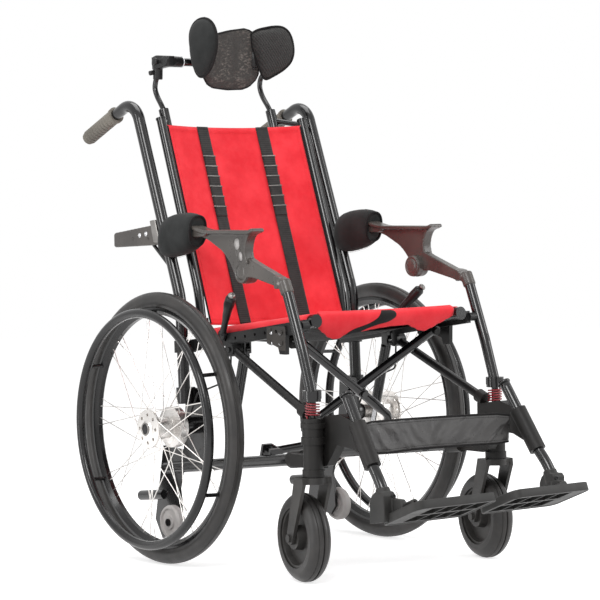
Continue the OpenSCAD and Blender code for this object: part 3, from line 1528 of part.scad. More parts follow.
side_frame(right);  // side_frame_right
side_frame(left);  // side_frame_left
side_rail(right);  // side_rail_right
side_rail(left);  // side_rail_left
caster_housing(right);  // caster_housing_right
caster_housing(left);  // caster_housing_left
front_tube(right);  // front_tube_right
front_tube(left);  // front_tube_left
front_spring(right);  // front_spring_right
front_spring(left);  // front_spring_left
push_tube(right);  // push_tube_right
push_tube(left);  // push_tube_left
grip(right);  // grip_right
grip(left);  // grip_left
armrest(right);  // armrest_right
armrest(left);  // armrest_left
arm_link(right);  // arm_link_right
arm_link(left);  // arm_link_left
arm_pad(right);  // arm_pad_right
arm_pad(left);  // arm_pad_left
gas_cylinder(right);  // gas_cylinder_right
gas_cylinder(left);  // gas_cylinder_left
gas_rod(right);  // gas_rod_right
gas_rod(left);  // gas_rod_left
rear_rim(right);  // rear_rim_right
rear_rim(left);  // rear_rim_left
rear_hub(right);  // rear_hub_right
rear_hub(left);  // rear_hub_left
rear_tyre(right);  // rear_tyre_right
rear_tyre(left);  // rear_tyre_left
caster_fork(right);  // caster_fork_right
caster_fork(left);  // caster_fork_left
caster_wheel(right);  // caster_wheel_right
caster_wheel(left);  // caster_wheel_left
caster_tyre(right);  // caster_tyre_right
caster_tyre(left);  // caster_tyre_left
footrest_tube(right);  // footrest_tube_right
footrest_tube(left);  // footrest_tube_left
footplate(right);  // footplate_right
footplate(left);  // footplate_left
brake_lever(right);  // brake_lever_right
brake_lever(left);  // brake_lever_left
transit_wheel(right);  // transit_wheel_right
transit_wheel(left);  // transit_wheel_left
seat_bracket(right);  // seat_bracket_right
seat_bracket(left);  // seat_bracket_left
seat_tube(right);  // seat_tube_right
seat_tube(left);  // seat_tube_left
back_tube(right);  // back_tube_right
back_tube(left);  // back_tube_left
brace_a();
brace_b();
seat_sling();
back_sling();
calf_strap();
headrest_bar();
headrest_panel();
headrest_pad(right);  // headrest_pad_right
headrest_pad(left);  // headrest_pad_left
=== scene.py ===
import math
import random

import bmesh
import bpy
from mathutils import Matrix, Vector, noise


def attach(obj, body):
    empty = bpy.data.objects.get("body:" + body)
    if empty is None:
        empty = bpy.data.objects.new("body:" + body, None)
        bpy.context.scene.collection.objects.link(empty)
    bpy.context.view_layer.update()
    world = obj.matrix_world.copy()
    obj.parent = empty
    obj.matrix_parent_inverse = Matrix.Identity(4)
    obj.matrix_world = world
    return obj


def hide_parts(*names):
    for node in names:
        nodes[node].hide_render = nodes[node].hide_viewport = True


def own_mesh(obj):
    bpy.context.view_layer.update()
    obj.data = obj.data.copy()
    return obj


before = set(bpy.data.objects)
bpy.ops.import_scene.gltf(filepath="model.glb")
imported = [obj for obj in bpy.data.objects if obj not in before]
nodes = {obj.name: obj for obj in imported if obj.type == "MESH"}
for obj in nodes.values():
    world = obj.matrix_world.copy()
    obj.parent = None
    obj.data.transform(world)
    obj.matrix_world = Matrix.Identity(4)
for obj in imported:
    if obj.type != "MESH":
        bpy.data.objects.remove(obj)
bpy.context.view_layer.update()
scene = bpy.context.scene
random.seed(7)

# Millimetres from the rear axle to the middle of the chair's footprint
MID = 191.03
SIDES = ((-1, "right"), (1, "left"))
TURN = 6.2832
BAR_BEVEL = 0.0008
SIM_FRAMES = 20


def spot(x, y, z):
    """A place given in millimetres off the rear axle, in metres in the row's frame."""
    return Vector((x, y + MID, z)) / 1000


def linear(*rgb):
    """A colour given as it shows on a screen, from 0 to 255, as the shader takes it."""
    out = []
    for c in rgb:
        c /= 255
        out.append(c / 12.92 if c <= 0.04045 else ((c + 0.055) / 1.055) ** 2.4)
    return tuple(out) + (1.0,)


# Camera: at the photograph's place, angle and lens
CAM_AT = spot(-3065.65, -4163.5, 737.18)
CAM_YAW, CAM_PITCH, CAM_ROLL = 0.646432, 0.039214, -0.018086
CAM_FOCAL_PX = 2418.22
FRAME_PX = 600
SENSOR_MM = 36


def make_camera():
    data = bpy.data.cameras.new("camera")
    data.sensor_width = SENSOR_MM
    data.lens = CAM_FOCAL_PX / FRAME_PX * SENSOR_MM
    data.clip_start, data.clip_end = 0.1, 100
    cam = bpy.data.objects.new("camera", data)
    scene.collection.objects.link(cam)
    ahead = Vector((
        math.sin(CAM_YAW) * math.cos(CAM_PITCH),
        math.cos(CAM_YAW) * math.cos(CAM_PITCH),
        -math.sin(CAM_PITCH),
    ))
    right = Vector((math.cos(CAM_YAW), -math.sin(CAM_YAW), 0))
    up = right.cross(ahead)
    c, s = math.cos(CAM_ROLL), math.sin(CAM_ROLL)
    x, y, z = c * right + s * up, -s * right + c * up, -ahead
    turn = Matrix((x, y, z)).transposed().to_4x4()
    cam.matrix_world = Matrix.Translation(CAM_AT) @ turn
    scene.camera = cam


# Materials


class Finish:
    """A procedural material on the principled shader, in the object's own coordinates."""

    def __init__(self, name, **sockets):
        self.mat = bpy.data.materials.new(name)
        self.mat.use_nodes = True
        self.tree = self.mat.node_tree
        self.shader = self.tree.nodes["Principled BSDF"]
        for socket, value in sockets.items():
            self.shader.inputs[socket.replace("_", " ")].default_value = value
        self.place = self.tree.nodes.new("ShaderNodeTexCoord").outputs["Object"]

    def node(self, kind, inputs=(), **settings):
        n = self.tree.nodes.new("ShaderNode" + kind)
        for key, value in settings.items():
            setattr(n, key, value)
        for key, value in dict(inputs).items():
            if isinstance(value, bpy.types.NodeSocket):
                self.tree.links.new(value, n.inputs[key])
            else:
                n.inputs[key].default_value = value
        return n

    def stretched(self, scale, turn=(0, 0, 0)):
        m = self.node("Mapping", {"Vector": self.place, "Scale": scale, "Rotation": turn})
        return m.outputs[0]

    def noise(self, scale, detail=3, vector=None, rough=0.5):
        n = self.node("TexNoise", {
            "Vector": vector or self.place, "Scale": scale, "Detail": detail, "Roughness": rough,
        })
        return n.outputs[0]

    def cells(self, scale, vector=None):
        n = self.node("TexVoronoi", {"Vector": vector or self.place, "Scale": scale})
        return n.outputs["Distance"]

    def bands(self, scale, axis, vector=None, distortion=0.0):
        n = self.node("TexWave", {
            "Vector": vector or self.place, "Scale": scale, "Distortion": distortion,
        }, wave_type="BANDS", bands_direction=axis)
        return n.outputs["Fac"]

    def remap(self, value, low, high, to_low=0.0, to_high=1.0):
        n = self.node("MapRange", {
            "Value": value, "From Min": low, "From Max": high, "To Min": to_low, "To Max": to_high,
        })
        return n.outputs[0]

    def math(self, kind, a, b=0.0):
        n = self.node("Math", {0: a, 1: b}, operation=kind)
        return n.outputs[0]

    def mix(self, factor, a, b):
        n = self.node("Mix", {0: factor, 6: a, 7: b}, data_type="RGBA")
        return n.outputs[2]

    def edges(self, radius=0.0009):
        """Normal that rounds sharp edges, and a mask of those edges."""
        bevel = self.node("Bevel", {"Radius": radius}, samples=4)
        flat = self.node("NewGeometry").outputs["Normal"]
        dot = self.node("VectorMath", {0: bevel.outputs[0], 1: flat}, operation="DOT_PRODUCT")
        return bevel.outputs[0], self.remap(dot.outputs["Value"], 0.999, 0.93)

    def wear(self, colour, mask, worn, amount=0.5):
        """Scuffs the colour towards a lighter one along the masked edges."""
        patches = self.remap(self.noise(60, 5), 0.45, 0.62)
        return self.mix(self.math("MULTIPLY", self.math("MULTIPLY", mask, patches), amount),
                        colour, worn)

    def mottled(self, scale, detail, dark, light):
        """Soft patches of two tones, each given from 0 to 255."""
        patches = self.remap(self.noise(scale, detail), 0.35, 0.65)
        return self.mix(patches, linear(*dark), linear(*light))

    def level(self, scale, detail, low, high, rough=0.5):
        """Roughness that wanders between two values."""
        return self.remap(self.noise(scale, detail, rough=rough), 0.3, 0.7, low, high)

    def weave(self, pitch_mm, axis, *more):
        """Ribs across an axis, at a pitch in millimetres."""
        return self.bands(1000 / pitch_mm / TURN, axis, *more)

    def done(self, colour=None, rough=None, height=None, strength=0.3, distance=0.0004,
             normal=None):
        if colour is not None:
            self.tree.links.new(colour, self.shader.inputs["Base Color"])
        if rough is not None:
            self.tree.links.new(rough, self.shader.inputs["Roughness"])
        if height is not None:
            bump = self.node("Bump", {
                "Height": height, "Strength": strength, "Distance": distance,
            })
            if normal is not None:
                self.tree.links.new(normal, bump.inputs["Normal"])
            normal = bump.outputs[0]
        if normal is not None:
            self.tree.links.new(normal, self.shader.inputs["Normal"])
        return self.mat


def hard(name, dark, light, rough, grain, strength, worn, rounding=0.0009, **sockets):
    """Paint or moulded plastic: mottled colour, fine grain and lighter, scuffed edges."""
    f = Finish(name, **sockets)
    normal, mask = f.edges(rounding)
    colour = f.wear(f.mottled(9, 4, dark, light), mask, linear(*worn))
    level = f.level(28, 5, rough[0], rough[1], 0.65)
    return f.done(colour, level, f.noise(grain, 2), strength, 0.0003, normal)


def frame_paint():
    """Gloss black of the tubes."""
    f = Finish("gloss_black", Coat_Weight=0.3, Coat_Roughness=0.08, Specular_IOR_Level=0.4)
    colour = f.mottled(9, 4, (12, 12, 13), (22, 21, 22))
    return f.done(colour, f.level(16, 4, 0.14, 0.24, 0.6), f.noise(60, 2), 0.02, 0.0002)


def moulded(name, dark, light, worn, rough=(0.4, 0.56), spec=0.26):
    return hard(name, dark, light, rough, 1800, 0.3, worn, Specular_IOR_Level=spec)


# Place of the saddle plate on the side rail, in metres
SADDLE_Y, SADDLE_Z, SADDLE_FACE_X = (-0.147, -0.085), (0.450, 0.498), 0.2141


def rail_paint():
    """Black side rail and strut, with the grey saddle plate bolted over the rail's front."""
    f = Finish("rail_paint", Specular_IOR_Level=0.3)
    normal, mask = f.edges()
    parts = f.node("SeparateXYZ", {0: f.place}).outputs
    inside = f.math("GREATER_THAN", f.math("ABSOLUTE", parts["X"]), SADDLE_FACE_X)
    for axis, (low, high) in (("Y", SADDLE_Y), ("Z", SADDLE_Z)):
        for kind, edge in (("GREATER_THAN", low), ("LESS_THAN", high)):
            inside = f.math("MULTIPLY", inside, f.math(kind, parts[axis], edge))
    colour = f.mix(inside, f.mottled(9, 4, (22, 22, 23), (34, 33, 33)),
                   f.mottled(9, 4, (58, 55, 53), (74, 70, 67)))
    return f.done(f.wear(colour, mask, linear(96, 92, 90)), f.level(28, 5, 0.3, 0.46, 0.65),
                  f.noise(1500, 2), 0.15, 0.0003, normal)


def metal(name, dark, light, rough, stretch):
    """Bare metal with fine lines along the stretched axis."""
    f = Finish(name, Metallic=1.0)
    normal, _ = f.edges(0.0006)
    lines = f.noise(240, 3, f.stretched(stretch))
    return f.done(f.mottled(14, 4, dark, light), f.remap(lines, 0.3, 0.7, rough[0], rough[1]),
                  lines, 0.12, 0.0002, normal)


def tyre_rubber():
    f = Finish("tyre_rubber", Specular_IOR_Level=0.45, Coat_Weight=0.12, Coat_Roughness=0.35)
    normal, _ = f.edges(0.0006)
    dust = f.remap(f.noise(22, 6, rough=0.7), 0.42, 0.68)
    colour = f.mix(dust, linear(26, 24, 23), linear(42, 39, 37))
    return f.done(colour, f.level(40, 4, 0.4, 0.55), f.noise(1400, 3), 0.35, 0.0003, normal)


def cloth(name, dark, light, pitch_mm, strength, **sockets):
    """Woven fabric: warp and weft bumps, threads of uneven tone and a soft mottle."""
    f = Finish(name, **sockets)
    weave = f.math("MAXIMUM", f.weave(pitch_mm, "X", None, 0.6), f.weave(pitch_mm, "Z", None, 0.6))
    tone = f.math("MULTIPLY", f.remap(f.noise(14, 5, rough=0.6), 0.35, 0.65),
                  f.remap(weave, 0.2, 1.0, 0.6, 1.0))
    threads = f.math("ADD", weave, f.noise(700, 3))
    return f.done(f.mix(tone, linear(*dark), linear(*light)), f.level(90, 3, 0.72, 0.92),
                  threads, strength, 0.0004)


def webbing():
    """Ribbed polyester band of the back's straps."""
    f = Finish("webbing", Sheen_Weight=0.08, Sheen_Roughness=0.4, Specular_IOR_Level=0.25)
    weave = f.math("MULTIPLY", f.weave(2.2, "Z", None, 0.3), f.weave(1.4, "X", None, 0.4))
    colour = f.mix(f.math("ADD", weave, f.remap(f.noise(40, 4), 0.35, 0.8, 0, 0.4)),
                   linear(28, 27, 27), linear(62, 59, 58))
    return f.done(colour, f.level(120, 3, 0.55, 0.75), weave, 0.6, 0.0005)


def nylon():
    """Smooth, slightly shiny nylon of the calf strap."""
    f = Finish("nylon", Sheen_Weight=0.1, Coat_Weight=0.35, Coat_Roughness=0.22,
               Specular_IOR_Level=0.5)
    weave = f.math("MAXIMUM", f.weave(0.6, "X"), f.weave(0.6, "Z"))
    colour = f.mottled(18, 5, (46, 44, 44), (66, 64, 63))
    return f.done(colour, f.level(60, 3, 0.26, 0.4), weave, 0.12, 0.0002)


def neoprene():
    """Knitted face of a neoprene sleeve: fine loops and a matt, dark grey tone."""
    f = Finish("neoprene", Sheen_Weight=0.06, Sheen_Roughness=0.5, Specular_IOR_Level=0.18)
    knit = f.cells(900, f.stretched((1, 1, 1.6)))
    colour = f.mottled(16, 4, (33, 34, 34), (46, 47, 47))
    return f.done(colour, f.level(50, 3, 0.75, 0.92), knit, 0.3, 0.0003)


def ribbed_mesh():
    """Knitted spacer mesh with fine upright ribs, on the far wing of the headrest."""
    f = Finish("ribbed_mesh", Sheen_Weight=0.06, Sheen_Roughness=0.45, Specular_IOR_Level=0.2)
    ribs = f.weave(2.2, "X", f.stretched((1, 1, 1), (0, 0.5, 0)), 0.8)
    holes = f.cells(620, f.stretched((1, 1, 0.7)))
    weave = f.math("MULTIPLY", f.remap(holes, 0.0, 0.5), f.remap(ribs, 0.0, 1.0, 0.55, 1.0))
    colour = f.mix(weave, linear(20, 20, 21), linear(66, 65, 64))
    return f.done(colour, f.level(80, 3, 0.65, 0.85), weave, 0.6, 0.0006)


def open_mesh():
    """Coarse knit stretched across the headrest, with lighter streaks painted on it as highlights.
    """
    f = Finish("open_mesh", Sheen_Weight=0.05, Specular_IOR_Level=0.2)
    streaks = f.noise(260, 4, f.stretched((0.45, 0.45, 1), (0, 0.15, 0)), 0.6)
    broad = f.noise(34, 3, f.stretched((1, 1, 0.7)))
    holes = f.cells(560, f.stretched((1, 1, 0.7)))
    # Painted highlight: streaks of the pale colour below, mixed over the knit
    painted_shine = f.math("MULTIPLY", f.remap(streaks, 0.48, 0.68), f.remap(broad, 0.42, 0.62))
    knit = f.mix(f.remap(holes, 0.0, 0.5), linear(32, 32, 32), linear(66, 64, 62))
    colour = f.mix(painted_shine, knit, linear(118, 112, 107))
    return f.done(colour, f.level(80, 3, 0.65, 0.85), holes, 0.6, 0.0006)


MATS = {
    "frame_paint": frame_paint(),
    "rail_paint": rail_paint(),
    "moulded_grey": moulded("moulded_grey", (25, 24, 23), (38, 36, 35), (84, 80, 77)),
    "plate_black": moulded("plate_black", (42, 42, 41), (56, 55, 54), (104, 100, 98)),
    "arm_grey": moulded("arm_grey", (64, 60, 57), (84, 79, 75), (156, 148, 142),
                        (0.24, 0.36), 0.5),
    "caster_plastic": moulded("caster_plastic", (44, 43, 42), (62, 60, 58), (104, 101, 98),
                              (0.34, 0.48), 0.32),
    "lever_black": moulded("lever_black", (24, 24, 25), (36, 35, 35), (76, 74, 74),
                           (0.3, 0.45), 0.3),
    "pale_plastic": hard("pale_plastic", (172, 168, 166), (192, 188, 186), (0.45, 0.6), 900, 0.2,
                         (150, 146, 142)),
    "spring_paint": hard("spring_paint", (116, 14, 26), (156, 24, 38), (0.25, 0.38), 900, 0.1,
                         (190, 120, 120), 0.0004, Coat_Weight=0.4),
    "grip_rubber": hard("grip_rubber", (98, 94, 88), (126, 121, 113), (0.6, 0.78), 1500, 0.5,
                        (150, 145, 137), 0.0005, Specular_IOR_Level=0.3),
    "rim_black": hard("rim_black", (12, 12, 13), (22, 21, 22), (0.2, 0.32), 300, 0.03,
                      (86, 82, 80), Coat_Weight=0.25, Coat_Roughness=0.12,
                      Specular_IOR_Level=0.3),
    "bright_steel": metal("bright_steel", (176, 176, 178), (214, 214, 216), (0.16, 0.3),
                          (1, 1, 4)),
    "dull_steel": metal("dull_steel", (112, 110, 108), (150, 147, 144), (0.34, 0.5), (4, 1, 1)),
    "hub_aluminium": metal("hub_aluminium", (214, 211, 208), (242, 238, 234), (0.24, 0.4),
                           (6, 1, 1)),
    "tyre_rubber": tyre_rubber(),
    "red_fabric": cloth("red_fabric", (224, 34, 46), (242, 56, 66), 0.9, 0.35,
                        Sheen_Weight=0.2, Sheen_Roughness=0.45, Specular_IOR_Level=0.3),
    "black_fabric": cloth("black_fabric", (20, 19, 20), (34, 32, 32), 1.1, 0.5,
                          Sheen_Weight=0.06, Sheen_Roughness=0.4, Specular_IOR_Level=0.2),
    "webbing": webbing(),
    "nylon": nylon(),
    "neoprene": neoprene(),
    "headrest_mesh": ribbed_mesh(),
    "open_mesh": open_mesh(),
}

# What each kind of node is made of, where it isn't the gloss black of the tubes
NODE_PAINT = {
    "side_rail": "rail_paint", "caster_housing": "moulded_grey", "front_spring": "spring_paint",
    "grip": "grip_rubber", "armrest": "arm_grey", "arm_link": "arm_grey", "arm_pad": "neoprene",
    "gas_rod": "bright_steel", "rear_rim": "rim_black", "rear_hub": "hub_aluminium",
    "rear_tyre": "tyre_rubber", "caster_fork": "caster_plastic", "caster_wheel": "caster_plastic",
    "caster_tyre": "tyre_rubber", "footplate": "plate_black", "brake_lever": "lever_black",
    "transit_wheel": "pale_plastic", "seat_bracket": "moulded_grey", "seat_sling": "red_fabric",
    "back_sling": "red_fabric", "calf_strap": "black_fabric", "headrest_panel": "headrest_mesh",
    "headrest_pad": "headrest_mesh",
}


def paint_nodes():
    for name, obj in nodes.items():
        kind = name.rsplit("_", 1)[0] if name.endswith(("_right", "_left")) else name
        obj.data.materials.clear()
        obj.data.materials.append(MATS[NODE_PAINT.get(kind, "frame_paint")])


# Mesh building


def piece(name, shapes, body, slot, mat=None, smooth=True):
    """One object from a list of (points, faces), riding on a body."""
    verts, faces = [], []
    for points, polygons in shapes:
        base = len(verts)
        verts += [tuple(p) for p in points]
        faces += [tuple(base + i for i in f) for f in polygons]
    mesh = bpy.data.meshes.new(name)
    mesh.from_pydata(verts, [], faces)
    bm = bmesh.new()
    bm.from_mesh(mesh)
    bmesh.ops.remove_doubles(bm, verts=bm.verts, dist=1e-7)
    bmesh.ops.recalc_face_normals(bm, faces=bm.faces)
    bm.to_mesh(mesh)
    bm.free()
    for p in mesh.polygons:
        p.use_smooth = smooth
    obj = bpy.data.objects.new(name, mesh)
    scene.collection.objects.link(obj)
    mesh.materials.append(MATS[mat or slot])
    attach(obj, body)
    return obj


def slab(front, back):
    """Closed skin round two grids of the same size."""
    n, m = len(front), len(front[0])
    verts = [p for row in front for p in row] + [p for row in back for p in row]

    def at(side, i, j):
        return side * n * m + i * m + j

    faces = []
    for i in range(n - 1):
        for j in range(m - 1):
            faces.append((at(0, i, j), at(0, i + 1, j), at(0, i + 1, j + 1), at(0, i, j + 1)))
            faces.append((at(1, i, j), at(1, i, j + 1), at(1, i + 1, j + 1), at(1, i + 1, j)))
    for i in range(n - 1):
        for j in (0, m - 1):
            faces.append((at(0, i, j), at(1, i, j), at(1, i + 1, j), at(0, i + 1, j)))
    for j in range(m - 1):
        for i in (0, n - 1):
            faces.append((at(0, i, j), at(1, i, j), at(1, i, j + 1), at(0, i, j + 1)))
    return verts, faces


def grid(rows, cols, pair):
    """Closed skin over a grid: pair(i, j) gives its place on the front and on the back."""
    pairs = [[pair(i, j) for j in range(cols + 1)] for i in range(rows + 1)]
    return slab([[p[0] for p in row] for row in pairs], [[p[1] for p in row] for row in pairs])


def skin(count, seg, start=0, closed=False):
    """Faces between neighbours of so many rings, each of seg points."""
    faces = []
    for i in range(count if closed else count - 1):
        a, b = start + i * seg, start + (i + 1) % count * seg
        faces += [(a + k, a + (k + 1) % seg, b + (k + 1) % seg, b + k) for k in range(seg)]
    return faces


def smooth_path(points, steps=6):
    """Curve through the points, with so many steps between each two."""
    pts = [Vector(p) for p in points]
    ends = [2 * pts[0] - pts[1]] + pts + [2 * pts[-1] - pts[-2]]
    out = []
    for i in range(1, len(ends) - 2):
        a, b, c, d = ends[i - 1:i + 3]
        for k in range(steps):
            t = k / steps
            out.append(0.5 * (2 * b + (c - a) * t + (2 * a - 5 * b + 4 * c - d) * t * t
                              + (3 * b - a - 3 * c + d) * t ** 3))
    return out + [pts[-1]]


def sweep(path, radius, sides=10, closed=False):
    """Round bar along a path, with rounded ends unless it closes on itself."""
    pts = [Vector(p) for p in path]
    n = len(pts)
    rings = []
    side = None
    for i, p in enumerate(pts):
        before = pts[i - 1] if i or closed else pts[0]
        after = pts[(i + 1) % n] if i < n - 1 or closed else pts[-1]
        ahead = (after - before).normalized()
        if side is None:
            side = ahead.orthogonal().normalized()
        side = (side - side.dot(ahead) * ahead).normalized()
        rings.append((p, ahead, side.copy(), radius(i / (n - 1)) if callable(radius) else radius))
    if not closed:
        p, ahead, s, r = rings[0]
        rings = [(p - ahead * r * 0.5, ahead, s, r * 0.6)] + rings
        p, ahead, s, r = rings[-1]
        rings.append((p + ahead * r * 0.5, ahead, s, r * 0.6))
    verts = []
    for p, ahead, s, r in rings:
        other = ahead.cross(s)
        for k in range(sides):
            a = 2 * math.pi * k / sides
            verts.append(p + s * math.cos(a) * r + other * math.sin(a) * r)
    count = len(rings)
    faces = skin(count, sides, closed=closed)
    if not closed:
        faces.append(tuple(range(sides)))
        faces.append(tuple((count - 1) * sides + k for k in reversed(range(sides))))
    return verts, faces


def lathe(profile, at, axis, segments=28, socket=None):
    """Turned shape: profile is (radius, height) from the foot up, and ends may be on the axis.
    From the index socket on, the rings are six-sided, as in a hex socket."""
    axis = Vector(axis).normalized()
    s = axis.orthogonal().normalized()
    t = axis.cross(s)
    verts, faces, starts = [], [], []
    for index, (r, h) in enumerate(profile):
        starts.append(len(verts))
        if r == 0:
            verts.append(at + axis * h)
            continue
        for k in range(segments):
            a = 2 * math.pi * k / segments
            reach = r
            if socket is not None and index >= socket:
                reach = r / math.cos((a + math.pi / 6) % (math.pi / 3) - math.pi / 6)
            verts.append(at + axis * h + (s * math.cos(a) + t * math.sin(a)) * reach)
    for i in range(len(profile) - 1):
        a, b = starts[i], starts[i + 1]
        for k in range(segments):
            q = (k + 1) % segments
            if profile[i][0] == 0:
                faces.append((a, b + q, b + k))
            elif profile[i + 1][0] == 0:
                faces.append((a + k, a + q, b))
            else:
                faces.append((a + k, a + q, b + q, b + k))
    return verts, faces


def screw(at, axis, r, h=0.0022):
    """Round-headed screw with a hex socket, its head standing on the surface at."""
    return lathe([(0, -0.001), (r, -0.001), (r, h * 0.35), (r * 0.9, h * 0.8), (r * 0.68, h),
                  (r * 0.5, h), (r * 0.46, h * 0.3), (0, h * 0.25)], at, axis, 24, 5)


def stitches(path, out, pitch=0.0042, long=0.0026, r=0.00035):
    """Row of thread stitches along a path, lying on a surface whose normal is out."""
    shapes = []
    left = pitch / 2
    for a, b in zip(path, path[1:]):
        a, b = Vector(a), Vector(b)
        step = (b - a).length
        if step < 1e-9:
            continue
        ahead = (b - a) / step
        while left < step:
            mid = a + ahead * left
            shapes.append(sweep([mid - ahead * long / 2, mid + out * r * 0.8,
                                 mid + ahead * long / 2], r, 5))
            left += pitch
        left -= step
    return shapes


def subdivided(obj):
    mod = obj.modifiers.new("round", "SUBSURF")
    mod.levels = mod.render_levels = 1
    bake(obj)


def bake(obj):
    """Applies the object's modifiers to its mesh."""
    graph = bpy.context.evaluated_depsgraph_get()
    graph.update()
    mesh = bpy.data.meshes.new_from_object(obj.evaluated_get(graph))
    old = obj.data
    obj.modifiers.clear()
    obj.data = mesh
    bpy.data.meshes.remove(old)
    for p in mesh.polygons:
        p.use_smooth = True


def prism(outline, x0, x1, s):
    """Closed outline of (y, z) places, drawn out across the chair from x0 to x1."""
    n = len(outline)
    verts = [spot(s * x, y, z) for x in (x0, x1) for y, z in outline]
    faces = [tuple(range(n)), tuple(range(2 * n - 1, n - 1, -1))]
    faces += [(i, (i + 1) % n, n + (i + 1) % n, n + i) for i in range(n)]
    return verts, faces


def ribbon(path, thick, x0, x1, s):
    """Strip of even thickness that follows a smooth path of (y, z) places."""
    line = [(p.x, p.y) for p in smooth_path([(y, z, 0) for y, z in path], 5)]
    upper, lower = [], []
    for i, (y, z) in enumerate(line):
        a, b = line[max(0, i - 1)], line[min(len(line) - 1, i + 1)]
        dy, dz = b[0] - a[0], b[1] - a[1]
        k = thick / 2 / math.hypot(dy, dz)
        upper.append((y - dz * k, z + dy * k))
        lower.append((y + dz * k, z - dy * k))
    return prism(upper + lower[::-1], x0, x1, s)


def round_bar(a, b, r0, r1=None):
    """Round bar between two places, with a small bevel at each end."""
    r1 = r0 if r1 is None else r1
    way = b - a
    long = way.length
    return lathe([(0, 0), (r0 - BAR_BEVEL, 0), (r0, BAR_BEVEL), (r1, long - BAR_BEVEL),
                  (r1 - BAR_BEVEL, long), (0, long)], a, way, 28)


def fused(obj, voxel=0.0017, rounds=5, cutter=None):
    """Melts overlapping shapes into one moulding with soft fillets, and cuts its opening."""
    voxels(obj, voxel)
    if cutter:
        mod = obj.modifiers.new("opening", "BOOLEAN")
        mod.object, mod.operation, mod.solver = cutter, "DIFFERENCE", "EXACT"
        bake(obj)
        bpy.data.objects.remove(cutter)
    mod = obj.modifiers.new("fillets", "SMOOTH")
    mod.factor, mod.iterations = 0.5, rounds
    bake(obj)


def voxels(obj, size):
    mod = obj.modifiers.new("skin", "REMESH")
    mod.mode = "VOXEL"
    mod.voxel_size = size
    bake(obj)


def puffed(obj, voxel, cap):
    """Swells a closed soft form as stuffed fabric does. No point moves further than cap."""
    voxels(obj, voxel)
    start = [v.co.copy() for v in obj.data.vertices]
    sim = obj.modifiers.new("fabric", "CLOTH")
    settings = sim.settings
    settings.use_pressure = True
    settings.uniform_pressure_force = 4.0
    settings.effector_weights.gravity = 0
    settings.quality = 5
    settings.mass = 0.3
    settings.tension_stiffness = settings.compression_stiffness = 15
    settings.bending_stiffness = 0.5
    for f in range(1, SIM_FRAMES + 1):
        scene.frame_set(f)
    graph = bpy.context.evaluated_depsgraph_get()
    moved = [v.co.copy() for v in obj.evaluated_get(graph).data.vertices]
    obj.modifiers.clear()
    scene.frame_set(1)
    for v, a, b in zip(obj.data.vertices, start, moved):
        move = b - a
        if move.length > cap:
            move *= cap / move.length
        v.co = a + move
    mod = obj.modifiers.new("relax", "SMOOTH")
    mod.factor, mod.iterations = 0.5, 3
    subdivided(obj)


# Seat: red sling with sleeves over the seat tubes, black belly and front apron

SEAT_SLOPE = math.radians(6.5)
SEAT_ORIGIN = (-30.9, 467.4)
SEAT_X = 187
SEAT_END = 358


def folds(obj):
    """Only gives the cloth its own copy of its mesh; drawing it together across the chair when the
    frame folds is not done here.
    """
    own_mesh(obj)


def seat_at(x, along, up):
    c, s = math.cos(SEAT_SLOPE), math.sin(SEAT_SLOPE)
    return spot(x, SEAT_ORIGIN[0] - along * c + up * s, SEAT_ORIGIN[1] + along * s + up * c)


def seat_sag(along):
    """Sag of the sling's middle, which is held nearly straight by the front hem."""
    near_front = min(1, max(0, (SEAT_END - along) / 90))
    near_back = min(1, max(0, along / 60))
    return 2.5 + 13 * math.sin(near_front * math.pi / 2) * (0.6 + 0.4 * near_back)


def seat_panel():
    half, high, thick = 183, 15.2, 2.2

    def pair(i, j):
        along = SEAT_END * i / 36
        x = -half + 2 * half * j / 48
        dip = seat_sag(along) * (1 - (x / half) ** 2)
        ripple = 0.5 * noise.noise(Vector((x / 60, along / 34, 2))) * (1 - (x / half) ** 4)
        return (seat_at(x, along, high - dip + ripple),
                seat_at(x, along, high - thick - dip + ripple))

    obj = piece("seat_panel", [grid(36, 48, pair)], "seat_right", "red_fabric")
    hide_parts("seat_sling")
    folds(obj)


def seat_sleeves():
    up = Vector((0, math.sin(SEAT_SLOPE), math.cos(SEAT_SLOPE)))
    for s, side in SIDES:
        def pair(i, j):
            along = SEAT_END * i / 24
            a = math.radians(-24 + 128 * j / 16)
            wave = 0.25 * noise.noise(Vector((a * 2, along / 24, s)))
            return [seat_at(s * (SEAT_X + r * math.cos(a)), along, r * math.sin(a))
                    for r in (15.3 + wave, 12.8)]

        obj = piece("seat_sleeve_" + side, [grid(24, 16, pair)], "seat_" + side, "red_fabric")
        seam = [seat_at(s * (SEAT_X - 1.5), SEAT_END * k / 60, 15.35) for k in range(61)]
        piece("seat_seam_" + side, stitches(seam, up), "seat_" + side, "red_fabric")


def seat_belly():
    """Black base cloth that hangs under the red panel from tube to tube."""
    half, thick = 173, 1.6

    def pair(i, j):
        along = 40 + 296 * i / 24
        hang = 27 * (0.75 + 0.25 * math.sin(math.pi * i / 24))
        x = -half + 2 * half * j / 40
        up = -2 - hang * (1 - (x / half) ** 2)
        up += 0.8 * noise.noise(Vector((x / 40, along / 40, 5)))
        return seat_at(x, along, up), seat_at(x, along, up - thick)

    obj = piece("seat_belly", [grid(24, 40, pair)], "seat_right", "black_fabric")
    folds(obj)


APRON_HALF = 173
APRON_TOP = 525.2
# Lower edge of the apron: place across and height, from the photograph
APRON_FOOT = [
    (-173, 493), (-158, 484), (-141, 474), (-128, 470), (-116, 471), (-104, 477), (-80, 481),
    (-60, 483), (-34, 486), (-13, 488), (16, 490), (56, 491), (72, 485), (90, 478), (104, 476),
    (120, 482), (141, 491), (160, 499), (173, 505),
]


def between(table, x):
    for (x0, y0), (x1, y1) in zip(table, table[1:]):
        if x <= x1:
            t = (x - x0) / (x1 - x0)
            t = t * t * (3 - 2 * t)
            return y0 + (y1 - y0) * t
    return table[-1][1]


def apron_top(x):
    return APRON_TOP - 1.8 * (1 - (x / APRON_HALF) ** 2)


